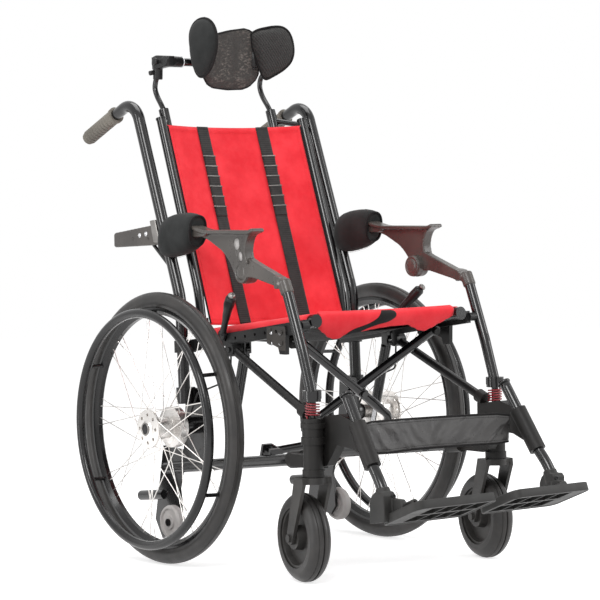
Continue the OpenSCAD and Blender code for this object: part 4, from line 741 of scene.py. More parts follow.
def apron_at(x, down, out=0.0):
    """Apron's face: down is 0 at the top edge and 1 at the lower edge."""
    top = apron_top(x)
    foot = between(APRON_FOOT, x)
    z = top - (top - foot) * down
    roll = math.sqrt(max(0.0, 1 - max(0.0, 1 - (top - z) / 9) ** 2))
    belly = 3.5 * math.sin(math.pi * min(1, down * 1.1))
    back = 15 * max(0.0, (top - z - 12) / 44) ** 1.3
    y = -386 - 6.5 * roll - belly * 0.6 + back - out
    fold = 1.6 * noise.noise(Vector((x / 26, z / 30, 9))) * min(1, (top - z) / 18)
    return spot(x, y + fold, z)


def seat_apron():
    def pair(i, j):
        x, down = -APRON_HALF + 2 * APRON_HALF * j / 80, (i / 20) ** 1.35
        return apron_at(x, down, 1.1), apron_at(x, down, -0.5)

    obj = piece("seat_apron", [grid(20, 80, pair)], "seat_right", "red_fabric")
    folds(obj)
    # Black inlay that sweeps from the lower left edge up over the top edge
    left = [(-13, 526), (-20, 517), (-29, 508), (-45, 499.5), (-63, 494), (-81, 489), (-95, 482),
            (-107, 474)]
    right = [(14, 526), (20, 516), (16, 507), (0, 499.5), (-22, 495.5), (-45, 489.5), (-72, 480.5),
             (-100, 472)]
    edges = [smooth_path([(x, z, 0) for x, z in e], 4) for e in (left, right)]
    def inlay_pair(i, j):
        q = edges[0][i].lerp(edges[1][i], j / 8)
        top = apron_top(q.x)
        down = min(1, max(0, (top - q.y) / (top - between(APRON_FOOT, q.x))))
        bulge = 0.7 * math.sin(math.pi * j / 8)
        return apron_at(q.x, down, 2.0 + bulge), apron_at(q.x, down, 0.6)

    inlay = grid(len(edges[0]) - 1, 8, inlay_pair)
    folds(piece("seat_inlay", [inlay], "seat_right", "black_fabric"))

    # Rolled hem along the top edge, and a stitched hem along the lower one
    roll = [apron_at(-171 + 342 * k / 90, 0, 0) + Vector((0, 0.0004, -0.0016)) for k in range(91)]
    hem = piece("seat_front_roll", [sweep(roll, 0.0034, 10)], "seat_right", "red_fabric")
    folds(hem)
    row = [apron_at(-168 + 336 * k / 120, 0.86, 1.3) for k in range(121)]
    thread = stitches(row, Vector((0, -1, 0)))
    folds(piece("seat_apron_seam", thread, "seat_right", "red_fabric"))


# Back: red sling with piped edges, two webbing straps and their ladder bars
LEAN = math.radians(19.325)
BACK_FOOT = (-14.83, 512)
BACK_SPAN = 423.9
BACK_HALF = 177.4
BACK_SAG = 16
BACK_R = (BACK_HALF ** 2 + BACK_SAG ** 2) / (2 * BACK_SAG)
BACK_LOW = -23
STRAP_X = 79
STRAP_W = 30
LADDER_TOP = 0.84 * BACK_SPAN
LADDER_PITCH = 23
LADDER_BARS = 6
BACK_OUT = Vector((0, -math.cos(LEAN), math.sin(LEAN)))


def back_at(x, up, out=0.0):
    """The sling's front face: up along the lean, out to the front."""
    y = -3 + math.sqrt(BACK_R ** 2 - x * x) - (BACK_R - BACK_SAG) - out
    c, s = math.cos(LEAN), math.sin(LEAN)
    return spot(x, BACK_FOOT[0] + up * s + y * c, BACK_FOOT[1] + up * c - y * s)


def back_panel():
    rise = BACK_SPAN - BACK_LOW

    def pair(i, j):
        up = BACK_LOW + rise * i / 60
        hem = 0.5 if min(up - BACK_LOW, BACK_SPAN - up) < 16 else 0.0
        x = -BACK_HALF + 2 * BACK_HALF * j / 48
        inside = 1 - (x / BACK_HALF) ** 4
        wave = 0.9 * noise.noise(Vector((x / 70, up / 90, 1))) * inside
        wave -= 1.6 * inside * math.sin(math.pi * i / 60)
        return back_at(x, up, hem + wave), back_at(x, up, wave - 2.4)

    obj = piece("back_panel", [grid(60, 48, pair)], "seat_right", "red_fabric")
    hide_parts("back_sling")
    folds(obj)

    rows = []
    for up in (BACK_LOW + 12, BACK_SPAN - 13, BACK_SPAN - 9.5):
        rows += stitches([back_at(-172 + 344 * k / 90, up, 0.9) for k in range(91)], BACK_OUT)
    for s, _ in SIDES:
        rows += stitches([back_at(s * 166, BACK_LOW + 6 + (rise - 12) * k / 90, 0.3)
                          for k in range(91)], BACK_OUT)
    folds(piece("back_seams", rows, "seat_right", "red_fabric"))

    for s, side in SIDES:
        cord = [back_at(s * (BACK_HALF - 0.4), BACK_LOW + 3 + (rise - 6) * k / 50, 0.6)
                for k in range(51)]
        piece("back_piping_" + side, [sweep(cord, 0.0019, 10)], "seat_" + side, "black_fabric")


def strap_section(x0, ups, out, width, thick):
    """Flat band up the back at the places ups, standing out of the sling by out(up)."""
    def pair(i, j):
        up, t = ups[i], -1 + j / 4
        x = x0 + t * width / 2
        dip = 0.45 if abs(t) == 1 else 0
        return back_at(x, up, out(up) + thick - dip), back_at(x, up, out(up))

    return grid(len(ups) - 1, 8, pair)


def back_straps():
    for e, side in SIDES:
        x = e * STRAP_X
        ups = [BACK_LOW + (BACK_SPAN - BACK_LOW + 0.5) * k / 80 for k in range(81)]
        bands = [strap_section(x, ups, lambda up: 0.6, STRAP_W, 1.5)]
        bars, ends = [], []
        for i in range(LADDER_BARS):
            top = LADDER_TOP - i * LADDER_PITCH
            end = top - LADDER_PITCH
            ups = [end + 1.5 + (LADDER_PITCH - 3) * k / 10 for k in range(11)]
            bands.append(strap_section(
                x, ups, lambda up: 2.2 + 2.4 * ((up - end) / LADDER_PITCH) ** 2,
                STRAP_W - 0.6, 1.4))
            bars.append(sweep([back_at(x + t * 17, top, 4.6 if abs(t) < 0.95 else 3.2)
                               for t in (-1, -0.9, -0.5, 0, 0.5, 0.9, 1)], 0.00125, 8))
        for up in (BACK_LOW + 4, BACK_SPAN - 4):
            ends += stitches([back_at(x + t * 13, up, 2.4) for t in (-1, -0.5, 0, 0.5, 1)],
                             BACK_OUT, 0.003, 0.002)
        for name, shapes, slot, mat in (("strap", bands, "black_fabric", "webbing"),
                                        ("bars", bars, "bright_steel", "dull_steel"),
                                        ("tacks", ends, "black_fabric", None)):
            name = "back_%s_%s" % (name, side)
            folds(piece(name, shapes, "seat_right", slot, mat))


# Calf strap

CALF_HALF = 188
CALF_SAG = 17
CALF_H = 60


def calf_at(x, up, out=0.0):
    """Front of the strap: up from its middle line, out to the front."""
    t = x / CALF_HALF
    pucker = 1 - 0.12 * max(0.0, abs(t) - 0.86) / 0.14
    ripple = 0.0
    lean = x - up * (0.9 if x > 0 else -0.7)
    for k, (wide, size) in enumerate(((46, 5.0), (21, 3.6), (11, 1.5))):
        ripple += size * noise.noise(Vector((lean / wide, up / (wide * 1.8), 11 + k)))
    edge = max(0.0, 1 - (2 * up / CALF_H) ** 4)
    ripple *= (0.35 + 0.65 * edge) * (0.55 + 0.75 * abs(t) ** 1.5)
    y = -540 + CALF_SAG * (1 - t * t) - out + ripple
    z = 284.5 - 3.4 * t + up * pucker - 2.5 * math.exp(-((x + 110) / 50) ** 2) * (up < 0)
    return spot(x, y + up * -0.05, z)


def calf_strap():
    across = [-CALF_HALF + 2 * CALF_HALF * j / 110 for j in range(111)]

    def pair(i, j):
        up = CALF_H * (i / 18 - 0.5)
        return calf_at(across[j], up, 1.0), calf_at(across[j], up, -1.0)

    obj = piece("calf_band", [grid(18, 110, pair)], "frame_right", "black_fabric", "nylon")
    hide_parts("calf_strap")
    rows = []
    for up in (CALF_H / 2 - 6, 6 - CALF_H / 2):
        rows += stitches([calf_at(-184 + 368 * j / 110, up, 1.2) for j in range(111)],
                         Vector((0, -1, 0)))
    parts = [obj]
    for sign, label in ((1, "top"), (-1, "foot")):
        edge = [calf_at(x, sign * CALF_H / 2, 0) for x in across]
        parts.append(piece("calf_hem_" + label, [sweep(edge, 0.0023, 10)], "frame_right",
                           "black_fabric"))
    parts.append(piece("calf_seams", rows, "frame_right", "black_fabric"))
    for part in parts:
        folds(part)


# Arm supports: armrest with its barrel, the link to the front tube, and the pad
ARM_TOP = [(-273, 690), (-264, 686.5), (-250, 685), (-210, 685.5), (-150, 686), (-108, 686.5),
           (-82, 690.5), (-60, 696), (-46, 699)]
ARM_FLANGE = [(-264, 686), (-251, 678), (-243, 664), (-240, 648), (-243, 632), (-248, 622)]
ARM_WEB = [(-46, 698), (-46, 677), (-77, 676), (-104, 669), (-131, 657), (-150, 648), (-163, 639),
           (-174, 629), (-184, 617), (-191, 605), (-198, 592), (-236, 594), (-246, 612),
           (-242, 632), (-240, 648), (-243, 664), (-251, 678), (-262, 686), (-150, 688),
           (-82, 692)]
ARM_KEY = [(-190, 667), (-193, 674), (-200, 677), (-207, 675), (-212, 668), (-212, 661),
           (-216, 655), (-217, 647), (-223, 640), (-225, 632), (-221, 626), (-213, 624),
           (-206, 628), (-202, 638), (-199, 648), (-195, 657)]
BARREL_AT = (-220, 604)
KNUCKLE_AT = (-361, 584)
LATCH = ((-202, 661, 9, 11.5, 0.1), (-214.5, 636, 5.2, 9.5, -0.25))


def arm_rests():
    for s, side in SIDES:
        body = "frame_" + side
        out = (s, 0, 0)
        shapes = [
            prism(ARM_WEB, 229.6, 235, s),
            ribbon(ARM_TOP, 7.5, 216, 249, s),
            ribbon(ARM_FLANGE, 6, 221, 243.5, s),
            prism([(-42, 703), (-42, 675), (-70, 675), (-100, 677), (-118, 684), (-70, 698)],
                  221, 244, s),
            lathe([(0, 0), (0.0226, 0), (0.0226, 0.027), (0, 0.027)],
                  spot(s * 209, *BARREL_AT), out, 48),
            lathe([(0.0146, 0), (0.0232, 0), (0.0232, 0.005), (0.0146, 0.005), (0.0146, 0)],
                  spot(s * 220, *BARREL_AT), out, 48),
        ]
        cutter = piece("arm_key_" + side, [prism(ARM_KEY, 231.6, 260, s)], body, "moulded_grey")
        obj = piece("arm_top_" + side, shapes, body, "moulded_grey", "arm_grey")
        fused(obj, cutter=cutter)
        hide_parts("armrest_" + side)
        discs = [lathe([(0, -0.001), (0.0214, -0.001), (0.0214, 0.0012), (0.0206, 0.002),
                        (0.0174, 0.0024), (0.0168, 0.0016), (0.016, 0.0016),
                        (0.0154, 0.0026), (0.007, 0.0032), (0, 0.0034)],
                       spot(s * x, *BARREL_AT), (s * way, 0, 0), 48)
                 for x, way in ((208.8, -1), (236.2, 1))]
        piece("arm_discs_" + side, discs, body, "moulded_grey", "arm_grey")
        latch = []
        for y, z, wide, tall, turn in LATCH:
            ring = []
            for k in range(24):
                a = 2 * math.pi * k / 24
                p, q = wide * math.cos(a), tall * math.sin(a)
                ring.append((y + p * math.cos(turn) - q * math.sin(turn),
                             z + p * math.sin(turn) + q * math.cos(turn)))
            latch.append(prism(ring, 230.8, 233.6, s))
        piece("arm_latch_" + side, latch, body, "pale_plastic")

        shapes = [
            prism([(-226, 594), (-224, 626), (-232, 634), (-246, 634), (-262, 627), (-352, 596),
                   (-362, 588), (-360, 576), (-346, 576), (-262, 594), (-240, 594)],
                  221, 238.5, s),
            prism([(-340, 600), (-340, 573), (-362, 574), (-366, 588), (-356, 597)],
                  225, 245, s),
            lathe([(0, -0.0125), (0.0062, -0.0112), (0.0108, -0.0066), (0.0125, 0),
                   (0.0108, 0.0066), (0.0062, 0.0112), (0, 0.0125)],
                  spot(s * 236, *KNUCKLE_AT), out, 28),
            round_bar(spot(s * 236, -361, 590), spot(s * 236, -374, 564), 0.0132),
        ]
        link = piece("arm_elbow_" + side, shapes, body, "moulded_grey", "arm_grey")
        fused(link, rounds=6)
        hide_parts("arm_link_" + side)
        bolts = [screw(spot(s * x, -360.5, 584.5), (s * way, 0, 0), 0.004, 0.0016)
                 for x, way in ((248, 1), (223.8, -1))]
        piece("arm_bolts_" + side, bolts, body, "bright_steel", "dull_steel")


# Arm pad: place along the sleeve, half width and half height of each ring
PAD_RINGS = [(-59, 10, 18), (-61, 15, 25), (-63, 20.5, 30.5), (-60, 23.5, 33.5), (-50, 26.5, 38),
             (-32, 28.4, 42.5), (-8, 29, 45), (16, 29, 45.5), (36, 28, 43.5), (50, 25, 38.5),
             (59, 18, 29), (62.5, 8, 15)]
PAD_MOUTH = (-62.5, 20, 30.5)
PAD_AT = (233, -2, 680)
PAD_TILT = math.radians(-7)


def pad_ring(s, ring, grow=0.0, count=36):
    y, w, h = ring
    out = []
    for k in range(count):
        a = 2 * math.pi * k / count
        x = (w + grow) * math.copysign(abs(math.cos(a)) ** 0.8, math.cos(a))
        z = (h + grow) * math.copysign(abs(math.sin(a)) ** 0.8, math.sin(a))
        out.append(spot(s * (PAD_AT[0] + x),
                        PAD_AT[1] + y * math.cos(PAD_TILT) + z * math.sin(PAD_TILT),
                        PAD_AT[2] + y * math.sin(PAD_TILT) + z * math.cos(PAD_TILT)))
    return out


def arm_pads():
    for s, side in SIDES:
        body, seg = "frame_" + side, 36
        verts = [p for ring in PAD_RINGS for p in pad_ring(s, ring)]
        faces = skin(len(PAD_RINGS), seg)
        faces.append(tuple(range(seg)))
        faces.append(tuple((len(PAD_RINGS) - 1) * seg + k for k in range(seg)))
        obj = piece("arm_sleeve_" + side, [(verts, faces)], body, "neoprene")
        puffed(obj, 0.0044, 0.003)
        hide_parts("arm_pad_" + side)
        mouth = sweep(pad_ring(s, PAD_MOUTH, 0.6), 0.0024, 8, closed=True)
        piece("arm_binding_" + side, [mouth], body, "black_fabric")
        seam = [spot(s * PAD_AT[0], PAD_AT[1] + y, PAD_AT[2] - 0.12 * y - h - 0.6)
                for y, _, h in PAD_RINGS[3:10]]
        piece("arm_seam_" + side, stitches(smooth_path(seam, 6), Vector((0, 0, -1))), body,
              "black_fabric")


# Headrest

HEAD_AT = spot(0, 132, 1058)
HEAD_TURN = Matrix.Rotation(math.radians(12), 3, "Z")
PIN_TURN = Matrix.Rotation(math.radians(10), 3, "Z")
WING_PIN = 69
LUG_X = 18.1
# Lower and upper edge of the mesh panel: place across, then the two heights
PANEL_EDGES = [(-86, -44, 34), (-72, -56, 44), (-50, -63, 50), (0, -66, 60), (44, -64, 66),
               (62, -58, 62), (78, -44, 44)]


def head_at(x, y, z):
    return HEAD_AT + HEAD_TURN @ Vector((x, y, z)) / 1000


def pin_at(s, z):
    return HEAD_AT + PIN_TURN @ Vector((s * WING_PIN, 0, z)) / 1000


def panel_span(x):
    for (x0, a0, b0), (x1, a1, b1) in zip(PANEL_EDGES, PANEL_EDGES[1:]):
        if x <= x1:
            k = (x - x0) / (x1 - x0)
            return a0 + (a1 - a0) * k, b0 + (b1 - b0) * k
    return PANEL_EDGES[-1][1:]


def panel_at(u, v, out):
    """A place on the mesh panel: u across and v up, each from -1 to 1, out to the front."""
    x = -4 + 82 * u
    low, top = panel_span(x)
    z = low + (top - low) * (v + 1) / 2
    sag = 13 * (1 - u * u)
    roll = 9 * max(0.0, -v - 0.72) / 0.28
    return head_at(x, -8 + sag + roll - out, z)


def head_panel():
    """Mesh hammock between the wings, higher on the far side and rolled at its foot."""
    def pair(i, j):
        u, v = -1 + 2 * j / 32, -1 + 2 * i / 32
        ripple = 1.3 * noise.noise(Vector((u * 3.2, v * 1.6, 4)))
        ripple += 0.7 * math.sin(9 * u + 2.5 * v) * (1 - v * v)
        return panel_at(u, v, 1.2 + ripple), panel_at(u, v, -2.0 + ripple)

    obj = piece("head_mesh_panel", [grid(32, 32, pair)], "head_panel", "headrest_mesh",
                "open_mesh")
    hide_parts("headrest_panel")
    edge = [(-1 + 2 * k / 24, 1) for k in range(24)] + [(1, 1 - 2 * k / 20) for k in range(20)]
    edge += [(-u, -v) for u, v in edge]
    rim = [panel_at(u, v, -0.4) for u, v in edge]
    piece("head_panel_piping", [sweep(rim, 0.0024, 8, closed=True)], "head_panel", "black_fabric")

    # Curved shell behind the mesh, its hinge lugs, and the clamp round the head bar
    def shell_pair(i, j):
        u, v = -1 + 2 * j / 24, -0.5 + i / 8
        return [panel_at(u, v, depth + 3 * (1 - (2 * j / 24 - 1) ** 2)) for depth in (-9, -13)]

    parts = [grid(8, 24, shell_pair)]
    for e, _ in SIDES:
        parts.append(lathe([(0, -0.017), (0.0072, -0.017), (0.008, -0.016), (0.008, 0.016),
                            (0.0072, 0.017), (0, 0.017)], pin_at(e, 0), (0, 0, 1)))
        parts.append(lathe([(0, -0.0025), (0.0138, -0.0025), (0.0145, -0.002), (0.0145, 0.002),
                            (0.0138, 0.0025), (0, 0.0025)],
                           spot(e * LUG_X, 161, 1058), (1, 0, 0), 40))
    piece("head_lugs", parts, "head_panel", "lever_black")


# Outlines of the wings, each in its own plane
NEAR_WING = [(110, 1142), (95, 1138.5), (81, 1131), (70, 1119), (64, 1104), (62.5, 1088),
             (65, 1072), (70, 1058), (77, 1045), (85, 1034), (96, 1024), (110, 1016.5),
             (124, 1014), (137, 1018), (148, 1030), (156, 1049), (162, 1070), (166, 1092),
             (166, 1110), (159, 1124), (146, 1135), (128, 1141)]
FAR_WING = [(1, 1113), (9, 1119), (20, 1124), (33, 1127), (51, 1130), (69, 1130), (81, 1125),
            (90, 1115), (96, 1099), (98.5, 1080), (97, 1064), (91, 1050), (81, 1039), (69, 1030),
            (53, 1021), (36, 1013), (29, 1018), (23, 1030), (17, 1046), (11, 1062), (6, 1079),
            (3, 1096)]
NEAR_SHIFT = -12
FAR_WING_AT = Vector((58, 144, 0))
FAR_WING_TURN = math.radians(-32.5)


def wing_place(s, u, z, out):
    """A wing's own plane: u along it, out of its outer face."""
    if s < 0:
        return spot(-93 - out, u + NEAR_SHIFT, z)
    a = FAR_WING_TURN
    at = FAR_WING_AT + Vector((math.cos(a), math.sin(a), 0)) * u
    at += Vector((math.sin(a), -math.cos(a), 0)) * -out
    return spot(at.x, at.y, z)


def wing_depth(t, face):
    bulge = 11.5 if face > 0 else 9.5
    return face * (bulge * math.sqrt(max(0, 1 - t ** 2.8)) + 1.0 if t < 1 else 0.5)


def head_wings():
    for s, side in SIDES:
        outline = NEAR_WING if s < 0 else FAR_WING
        closed = outline + outline[:1]
        line = [(p.x, p.y) for p in smooth_path([(y, z, 0) for y, z in closed], 3)][:-1]
        mid = (sum(p[0] for p in line) / len(line), sum(p[1] for p in line) / len(line))
        def shrunk(u, z, across, down, out):
            return wing_place(s, mid[0] + (u - mid[0]) * across, mid[1] + (z - mid[1]) * down, out)

        rings, seg = 10, len(line)
        verts, faces = [], []
        for face in (-1, 1):
            faces += skin(rings + 1, seg, len(verts))
            for i in range(rings + 1):
                t = i / rings
                verts += [shrunk(u, z, t, t, wing_depth(t, face)) for u, z in line]
        block, last = (rings + 1) * seg, rings * seg
        for k in range(seg):
            q = (k + 1) % seg
            faces.append((last + k, last + q, block + last + q, block + last + k))
        body = "head_wing_" + side
        obj = piece("head_wing_pad_" + side, [(verts, faces)], body, "headrest_mesh",
                    "neoprene" if s < 0 else "headrest_mesh")
        puffed(obj, 0.0042, 0.0025)
        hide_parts("headrest_pad_" + side)
        rim = [shrunk(u, z, 0.965, 0.972, 0) for u, z in line]
        piece("head_wing_piping_" + side, [sweep(rim, 0.003, 10, closed=True)], body,
              "black_fabric")
        parts = []
        reach = spot(-87, 113, 0) if s < 0 else wing_place(1, 14, 0, 7)
        for e, _ in SIDES:
            at = pin_at(s, e * 19.8)
            parts.append(lathe([(0, -0.0024), (0.0066, -0.0024), (0.0072, -0.0018),
                                (0.0072, 0.0018), (0.0066, 0.0024), (0, 0.0024)], at, (0, 0, 1)))
            to = Vector((reach.x, reach.y, at.z))
            parts.append(sweep([at, at.lerp(to, 0.5) + Vector((0, 0.004, 0)), to], 0.0026, 10))
        piece("head_wing_hinge_" + side, parts, body, "lever_black")


HEAD_BAR_Y = 161
ROD_X = 143


def head_bar():
    """Bent rods above the towers, the elbow fitting, and the bar behind the headrest."""
    rods = []
    for s, path in ((-1, [(186, 948), (196, 961), (209, 977), (217, 993), (216, 1006),
                          (209, 1022), (203, 1036)]),
                    (1, [(185, 946), (196, 960), (211, 977), (221, 993), (224, 1008),
                         (218, 1024), (196, 1040), (166, 1048)])):
        line = smooth_path([spot(s * ROD_X, y, z) for y, z in path], 5)
        rods.append(sweep(line, 0.0058, 16))
    rods.append(round_bar(spot(-132, HEAD_BAR_Y, 1050), spot(151, HEAD_BAR_Y, 1048), 0.0085))
    obj = piece("head_rods", rods, "headrest", "frame_paint")
    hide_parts("headrest_bar")
    joints = [
        round_bar(spot(-ROD_X, 206, 1014), spot(-ROD_X, 204, 1044), 0.0105),
        round_bar(spot(-ROD_X, 212, 1050), spot(-ROD_X, 156, 1051), 0.0125, 0.011),
        round_bar(spot(-156, 163, 1051), spot(-112, HEAD_BAR_Y, 1050), 0.0125, 0.0115),
        prism([(150, 1040), (214, 1036), (217, 1062), (200, 1066), (150, 1062)], 136, 152, -1),
    ]
    elbow = piece("head_elbow", joints, "headrest", "frame_paint", "lever_black")
    fused(elbow, 0.0015, 3)
    knobs = [
        lathe([(0, 0), (0.0075, 0), (0.0085, 0.0014), (0.0085, 0.005), (0.007, 0.0064),
               (0.004, 0.007), (0, 0.007)], spot(-156, 192, 1052), (-1, 0, 0), 24),
        lathe([(0, 0), (0.0052, 0), (0.0052, 0.012), (0.0046, 0.013), (0, 0.0136)],
              spot(-150, 207, 1030), (-1, 0.2, -0.2), 24),
    ]
    piece("head_knobs", knobs, "headrest", "lever_black")
    ring = round_bar(spot(-112, HEAD_BAR_Y, 1050), spot(-109.6, HEAD_BAR_Y, 1050), 0.0122)
    piece("head_ring", [ring], "headrest", "bright_steel")


# Foot supports

FOOT_TURN = math.radians(21)
PLATE_HINGE = (188, -682, 172)
PLATE_IN = 166
PLATE_OUT = 33
PLATE_HALF = 59
PLATE_TOP = -8.5
PLATE_CORNER = 19
# Section of the rim: distance in from the edge, and height over the plate's top
RIM_ROUND = [(0, 1.2), (0.3, 2.2), (1.2, 2.8), (3.6, 2.8), (4.6, 2.2), (5, 1.2), (5, -12.5),
             (4.4, -13.6), (3.2, -14), (1.4, -14), (0.4, -13.4), (0, -12.5)]


def plate_at(s, a, b, c):
    """A place on a footplate: a outboard of the hinge, b forward of it, c above it."""
    x, y, z = PLATE_HINGE
    return spot(s * (x + a), y - b * math.cos(FOOT_TURN) + c * math.sin(FOOT_TURN),
                z + b * math.sin(FOOT_TURN) + c * math.cos(FOOT_TURN))


def plate_rim(s, side):
    """Thick rounded rim round a footplate's edge."""
    lap, r = 0.8, PLATE_CORNER
    a0, a1, half = -PLATE_IN - lap, PLATE_OUT + lap, PLATE_HALF + lap
    verts = []
    for ca, cb, start in ((a1 - r, half - r, 0), (a0 + r, half - r, 90), (a0 + r, r - half, 180),
                          (a1 - r, r - half, 270)):
        for k in range(9):
            ang = math.radians(start + 90 * k / 8)
            for inward, c in RIM_ROUND:
                reach = r - inward
                verts.append(plate_at(s, ca + math.cos(ang) * reach, cb + math.sin(ang) * reach,
                                      PLATE_TOP + c))
    seg = len(RIM_ROUND)
    faces = skin(len(verts) // seg, seg, closed=True)
    piece("plate_rim_" + side, [(verts, faces)], "plate_" + side, "moulded_grey", "plate_black")


def foot_supports():
    for s, side in SIDES:
        body = "footrest_" + side
        line = smooth_path([spot(s * x, y, z) for x, y, z in (
            (203, -514, 369), (206.5, -548.5, 317.5), (210, -583, 266), (212, -601, 241),
            (214, -621, 217), (215, -636, 193), (215, -641, 172))], 6)
        obj = piece("foot_tube_" + side, [
            sweep(line, 0.011, 28),
            lathe([(0, 0), (0.0122, 0), (0.013, 0.0008), (0.013, 0.0042), (0.0116, 0.0058),
                   (0, 0.0062)], spot(s * 203, -514, 369),
                  Vector((s * -12, 118, 176)), 28),
        ], body, "frame_paint")
        block = piece("foot_block_" + side, [
            prism([(-613, 134), (-613, 174), (-619, 188), (-629, 195), (-650, 197), (-656, 191),
                   (-658, 140)], 202, 232, s),
            prism([(-650, 150), (-650, 180), (-657, 184), (-682, 184), (-688, 176), (-688, 166)],
                  200, 212, s),
            round_bar(spot(s * 215, -640, 176), spot(s * 214, -631, 202), 0.0150, 0.0136),
        ], body, "frame_paint", "plate_black")
        fused(block, 0.0017, 6)
        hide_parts("footrest_tube_" + side)
        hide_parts("footrest_tube_" + side)
        pins = [screw(spot(s * 208, -657.4, 188), (0, -1, 0), 0.0048, 0.0016)]
        piece("foot_pins_" + side, pins, body, "bright_steel", "lever_black")
        plate_rim(s, side)


# Small hardware

HUB_FACE_X = 328.6
WHEEL_R = 281.5


def hub_caps():
    """Black disc painted as the shade in the hollow end of the quick release axle, and the raised
    lip round it.
    """
    for s, side in SIDES:
        at = spot(s * HUB_FACE_X, 0, WHEEL_R)
        body = "rear_wheel_" + side
        # Painted shade: a flat black disc stands for the dark inside of the axle's hollow end
        bore_shade = lathe([(0, 0), (0.0102, 0), (0.0102, 0.0008), (0.0092, 0.0012), (0, 0.0009)],
                     at, (s, 0, 0), 32)
        piece("hub_bore_" + side, [bore_shade], body, "lever_black")
        lip = lathe([(0.0104, 0), (0.0134, 0), (0.0138, 0.0012), (0.0128, 0.0026),
                     (0.011, 0.0026), (0.0104, 0.0016), (0.0104, 0)], at, (s, 0, 0), 40)
        piece("hub_lip_" + side, [lip], body, "bright_steel", "dull_steel")


# Radius of the brake lever along its length
LEVER_GROW = [(0, 0.0068), (0.35, 0.0066), (0.62, 0.0086), (0.85, 0.0112), (1, 0.0108)]


def hardware():
    for s, side in SIDES:
        frame_body = "frame_" + side
        screws = []
        for y, z in ((122, 682), (146, 679)):
            screws.append(screw(spot(s * 236.9, y, z), (s, 0, 0), 0.0052))
        for y, z in ((-292, 484), (-322, 484), (-292, 463), (-322, 463)):
            screws.append(screw(spot(s * 217.6, y, z), (s, 0, 0), 0.004, 0.0016))
        piece("screws_" + side, screws, frame_body, "bright_steel")
        path = smooth_path([spot(s * 219, -126, 478), spot(s * 224, -140, 493),
                            spot(s * 231, -157, 512), spot(s * 240, -178, 534),
                            spot(s * 247, -197, 552)], 6)
        lever = piece("lever_" + side, [
            sweep(path, lambda k: between(LEVER_GROW, k), 20),
            lathe([(0, 0), (0.0105, 0), (0.011, 0.0006), (0.011, 0.0074), (0.0105, 0.008),
                   (0, 0.008)], spot(s * 213.4, -124, 475), (s, 0, 0)),
        ], "brake_" + side, "lever_black")
        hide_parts("brake_lever_" + side)
        tip = lathe([(0, -0.001), (0.0072, -0.001), (0.0078, 0.0006), (0.0066, 0.0034),
                     (0.004, 0.005), (0, 0.0056)],
                    spot(s * 249.5, -203, 557.5), (s * 0.35, -0.7, 0.66))
        piece("lever_tip_" + side, [tip], "brake_" + side, "bright_steel", "dull_steel")

        rail = piece("rear_rail_" + side, [
            prism([(72, 661), (98, 658), (243, 653), (248, 656), (248, 680), (243, 684.5),
                   (104, 700), (86, 700)], 219, 237, s),
        ], frame_body, "frame_paint", "arm_grey")
        fused(rail, 0.0016, 2)
        collar = piece("rear_collar_" + side, [
            prism([(70, 664), (92, 664), (106, 710), (86, 712)], 217, 239, s),
        ], frame_body, "frame_paint", "dull_steel")
        fused(collar, 0.0016, 3)


# Surroundings

WORLD_STRENGTH = 0.52
FLOOR_GLOW = 0.63
FLOOR_GREY = 0.78
FLOOR_R = 9
FLOOR_DROP = 0.0006
WHITE = (1, 1, 1, 1)
# Name, place, point it faces, width and height in metres, and power in watts
LAMPS = (
    ("key", (-2.6, -2.6, 2.9), (0, 0, 0.6), (1.4, 1.4), 74),
    ("fill", (2.6, -2.2, 1.8), (0, 0, 0.6), (0.8, 2.2), 36),
    ("top", (0.2, 0.4, 3.2), (0, 0, 0.5), (2.0, 2.0), 44),
    ("strip", (-3.2, 0.6, 1.2), (0, 0, 0.6), (0.4, 2.6), 32),
)


def lamp(name, where, towards, size, power):
    data = bpy.data.lights.new(name, "AREA")
    data.shape = "RECTANGLE"
    data.size, data.size_y = size
    data.energy = power
    obj = bpy.data.objects.new(name, data)
    scene.collection.objects.link(obj)
    obj.location = where
    way = Vector(towards) - Vector(where)
    obj.rotation_mode = "QUATERNION"
    obj.rotation_quaternion = way.to_track_quat("-Z", "Y")


def seen_white(tree):
    """1 for rays that show the background: from the camera, in gloss and through glass."""
    path = tree.nodes.new("ShaderNodeLightPath")
    total = path.outputs["Is Camera Ray"]
    for name in ("Is Glossy Ray", "Is Transmission Ray"):
        node = tree.nodes.new("ShaderNodeMath")
        node.operation = "MAXIMUM"
        tree.links.new(total, node.inputs[0])
        tree.links.new(path.outputs[name], node.inputs[1])
        total = node.outputs[0]
    return total


def glowing(tree, kind, colour=WHITE, strength=1.0):
    """A shader node of one even colour, with a strength where it has one."""
    node = tree.nodes.new(kind)
    node.inputs["Color"].default_value = colour
    if "Strength" in node.inputs:
        node.inputs["Strength"].default_value = strength
    return node


def combined(tree, kind, first, second, sockets):
    """Joins two shaders in a node of this kind."""
    node = tree.nodes.new(kind)
    for socket, part in zip(sockets, (first, second)):
        tree.links.new(part.outputs[0], node.inputs[socket])
    return node


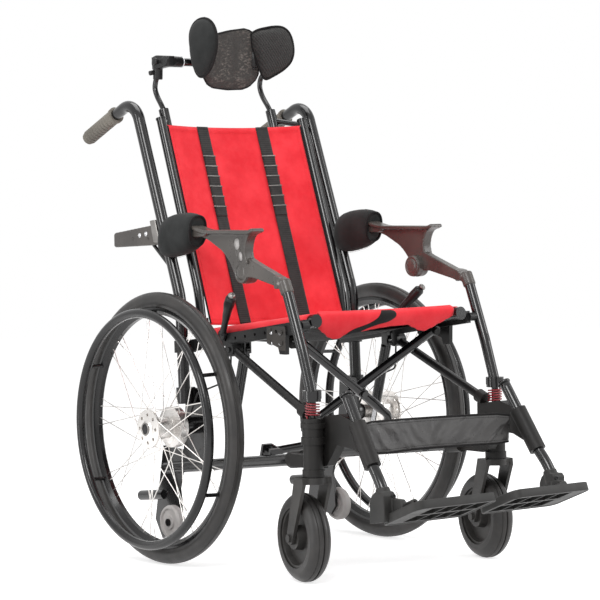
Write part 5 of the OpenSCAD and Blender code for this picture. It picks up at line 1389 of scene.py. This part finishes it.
def backdrop():
    """World that lights the chair dimly and shows white."""
    world = bpy.data.worlds.new("studio")
    world.use_nodes = True
    scene.world = world
    tree = world.node_tree
    base = tree.nodes["Background"]
    base.inputs["Color"].default_value = WHITE
    base.inputs["Strength"].default_value = WORLD_STRENGTH
    mix = combined(tree, "ShaderNodeMixShader", base, glowing(tree, "ShaderNodeBackground"),
                   (1, 2))
    tree.links.new(seen_white(tree), mix.inputs[0])
    tree.links.new(mix.outputs[0], tree.nodes["World Output"].inputs["Surface"])


def floor():
    """Disc that takes the chair's shadow and shows white elsewhere."""
    rings, seg = 14, 64
    verts = []
    for i in range(rings + 1):
        r = FLOOR_R * i / rings
        for k in range(seg):
            a = 2 * math.pi * k / seg
            verts.append((r * math.cos(a), r * math.sin(a), -FLOOR_DROP))
    mesh = bpy.data.meshes.new("floor")
    mesh.from_pydata(verts, [], skin(rings + 1, seg))
    obj = bpy.data.objects.new("floor", mesh)
    scene.collection.objects.link(obj)
    mat = bpy.data.materials.new("floor")
    mat.use_nodes = True
    tree = mat.node_tree
    tree.nodes.remove(tree.nodes["Principled BSDF"])
    diffuse = glowing(tree, "ShaderNodeBsdfDiffuse", (FLOOR_GREY, FLOOR_GREY, FLOOR_GREY, 1))
    glow = glowing(tree, "ShaderNodeEmission")
    dim = tree.nodes.new("ShaderNodeMath")
    dim.operation = "MULTIPLY"
    dim.inputs[1].default_value = FLOOR_GLOW
    tree.links.new(seen_white(tree), dim.inputs[0])
    tree.links.new(dim.outputs[0], glow.inputs["Strength"])
    add = combined(tree, "ShaderNodeAddShader", diffuse, glow, (0, 1))
    tree.links.new(add.outputs[0], tree.nodes["Material Output"].inputs["Surface"])
    mesh.materials.append(mat)


make_camera()
backdrop()
floor()
for settings in LAMPS:
    lamp(*settings)
paint_nodes()
for build in (seat_panel, seat_sleeves, seat_belly, seat_apron, back_panel, back_straps,
              calf_strap, arm_rests, arm_pads, head_panel, head_wings, head_bar, foot_supports,
              hub_caps, hardware):
    build()
scene.view_settings.view_transform = "Standard"
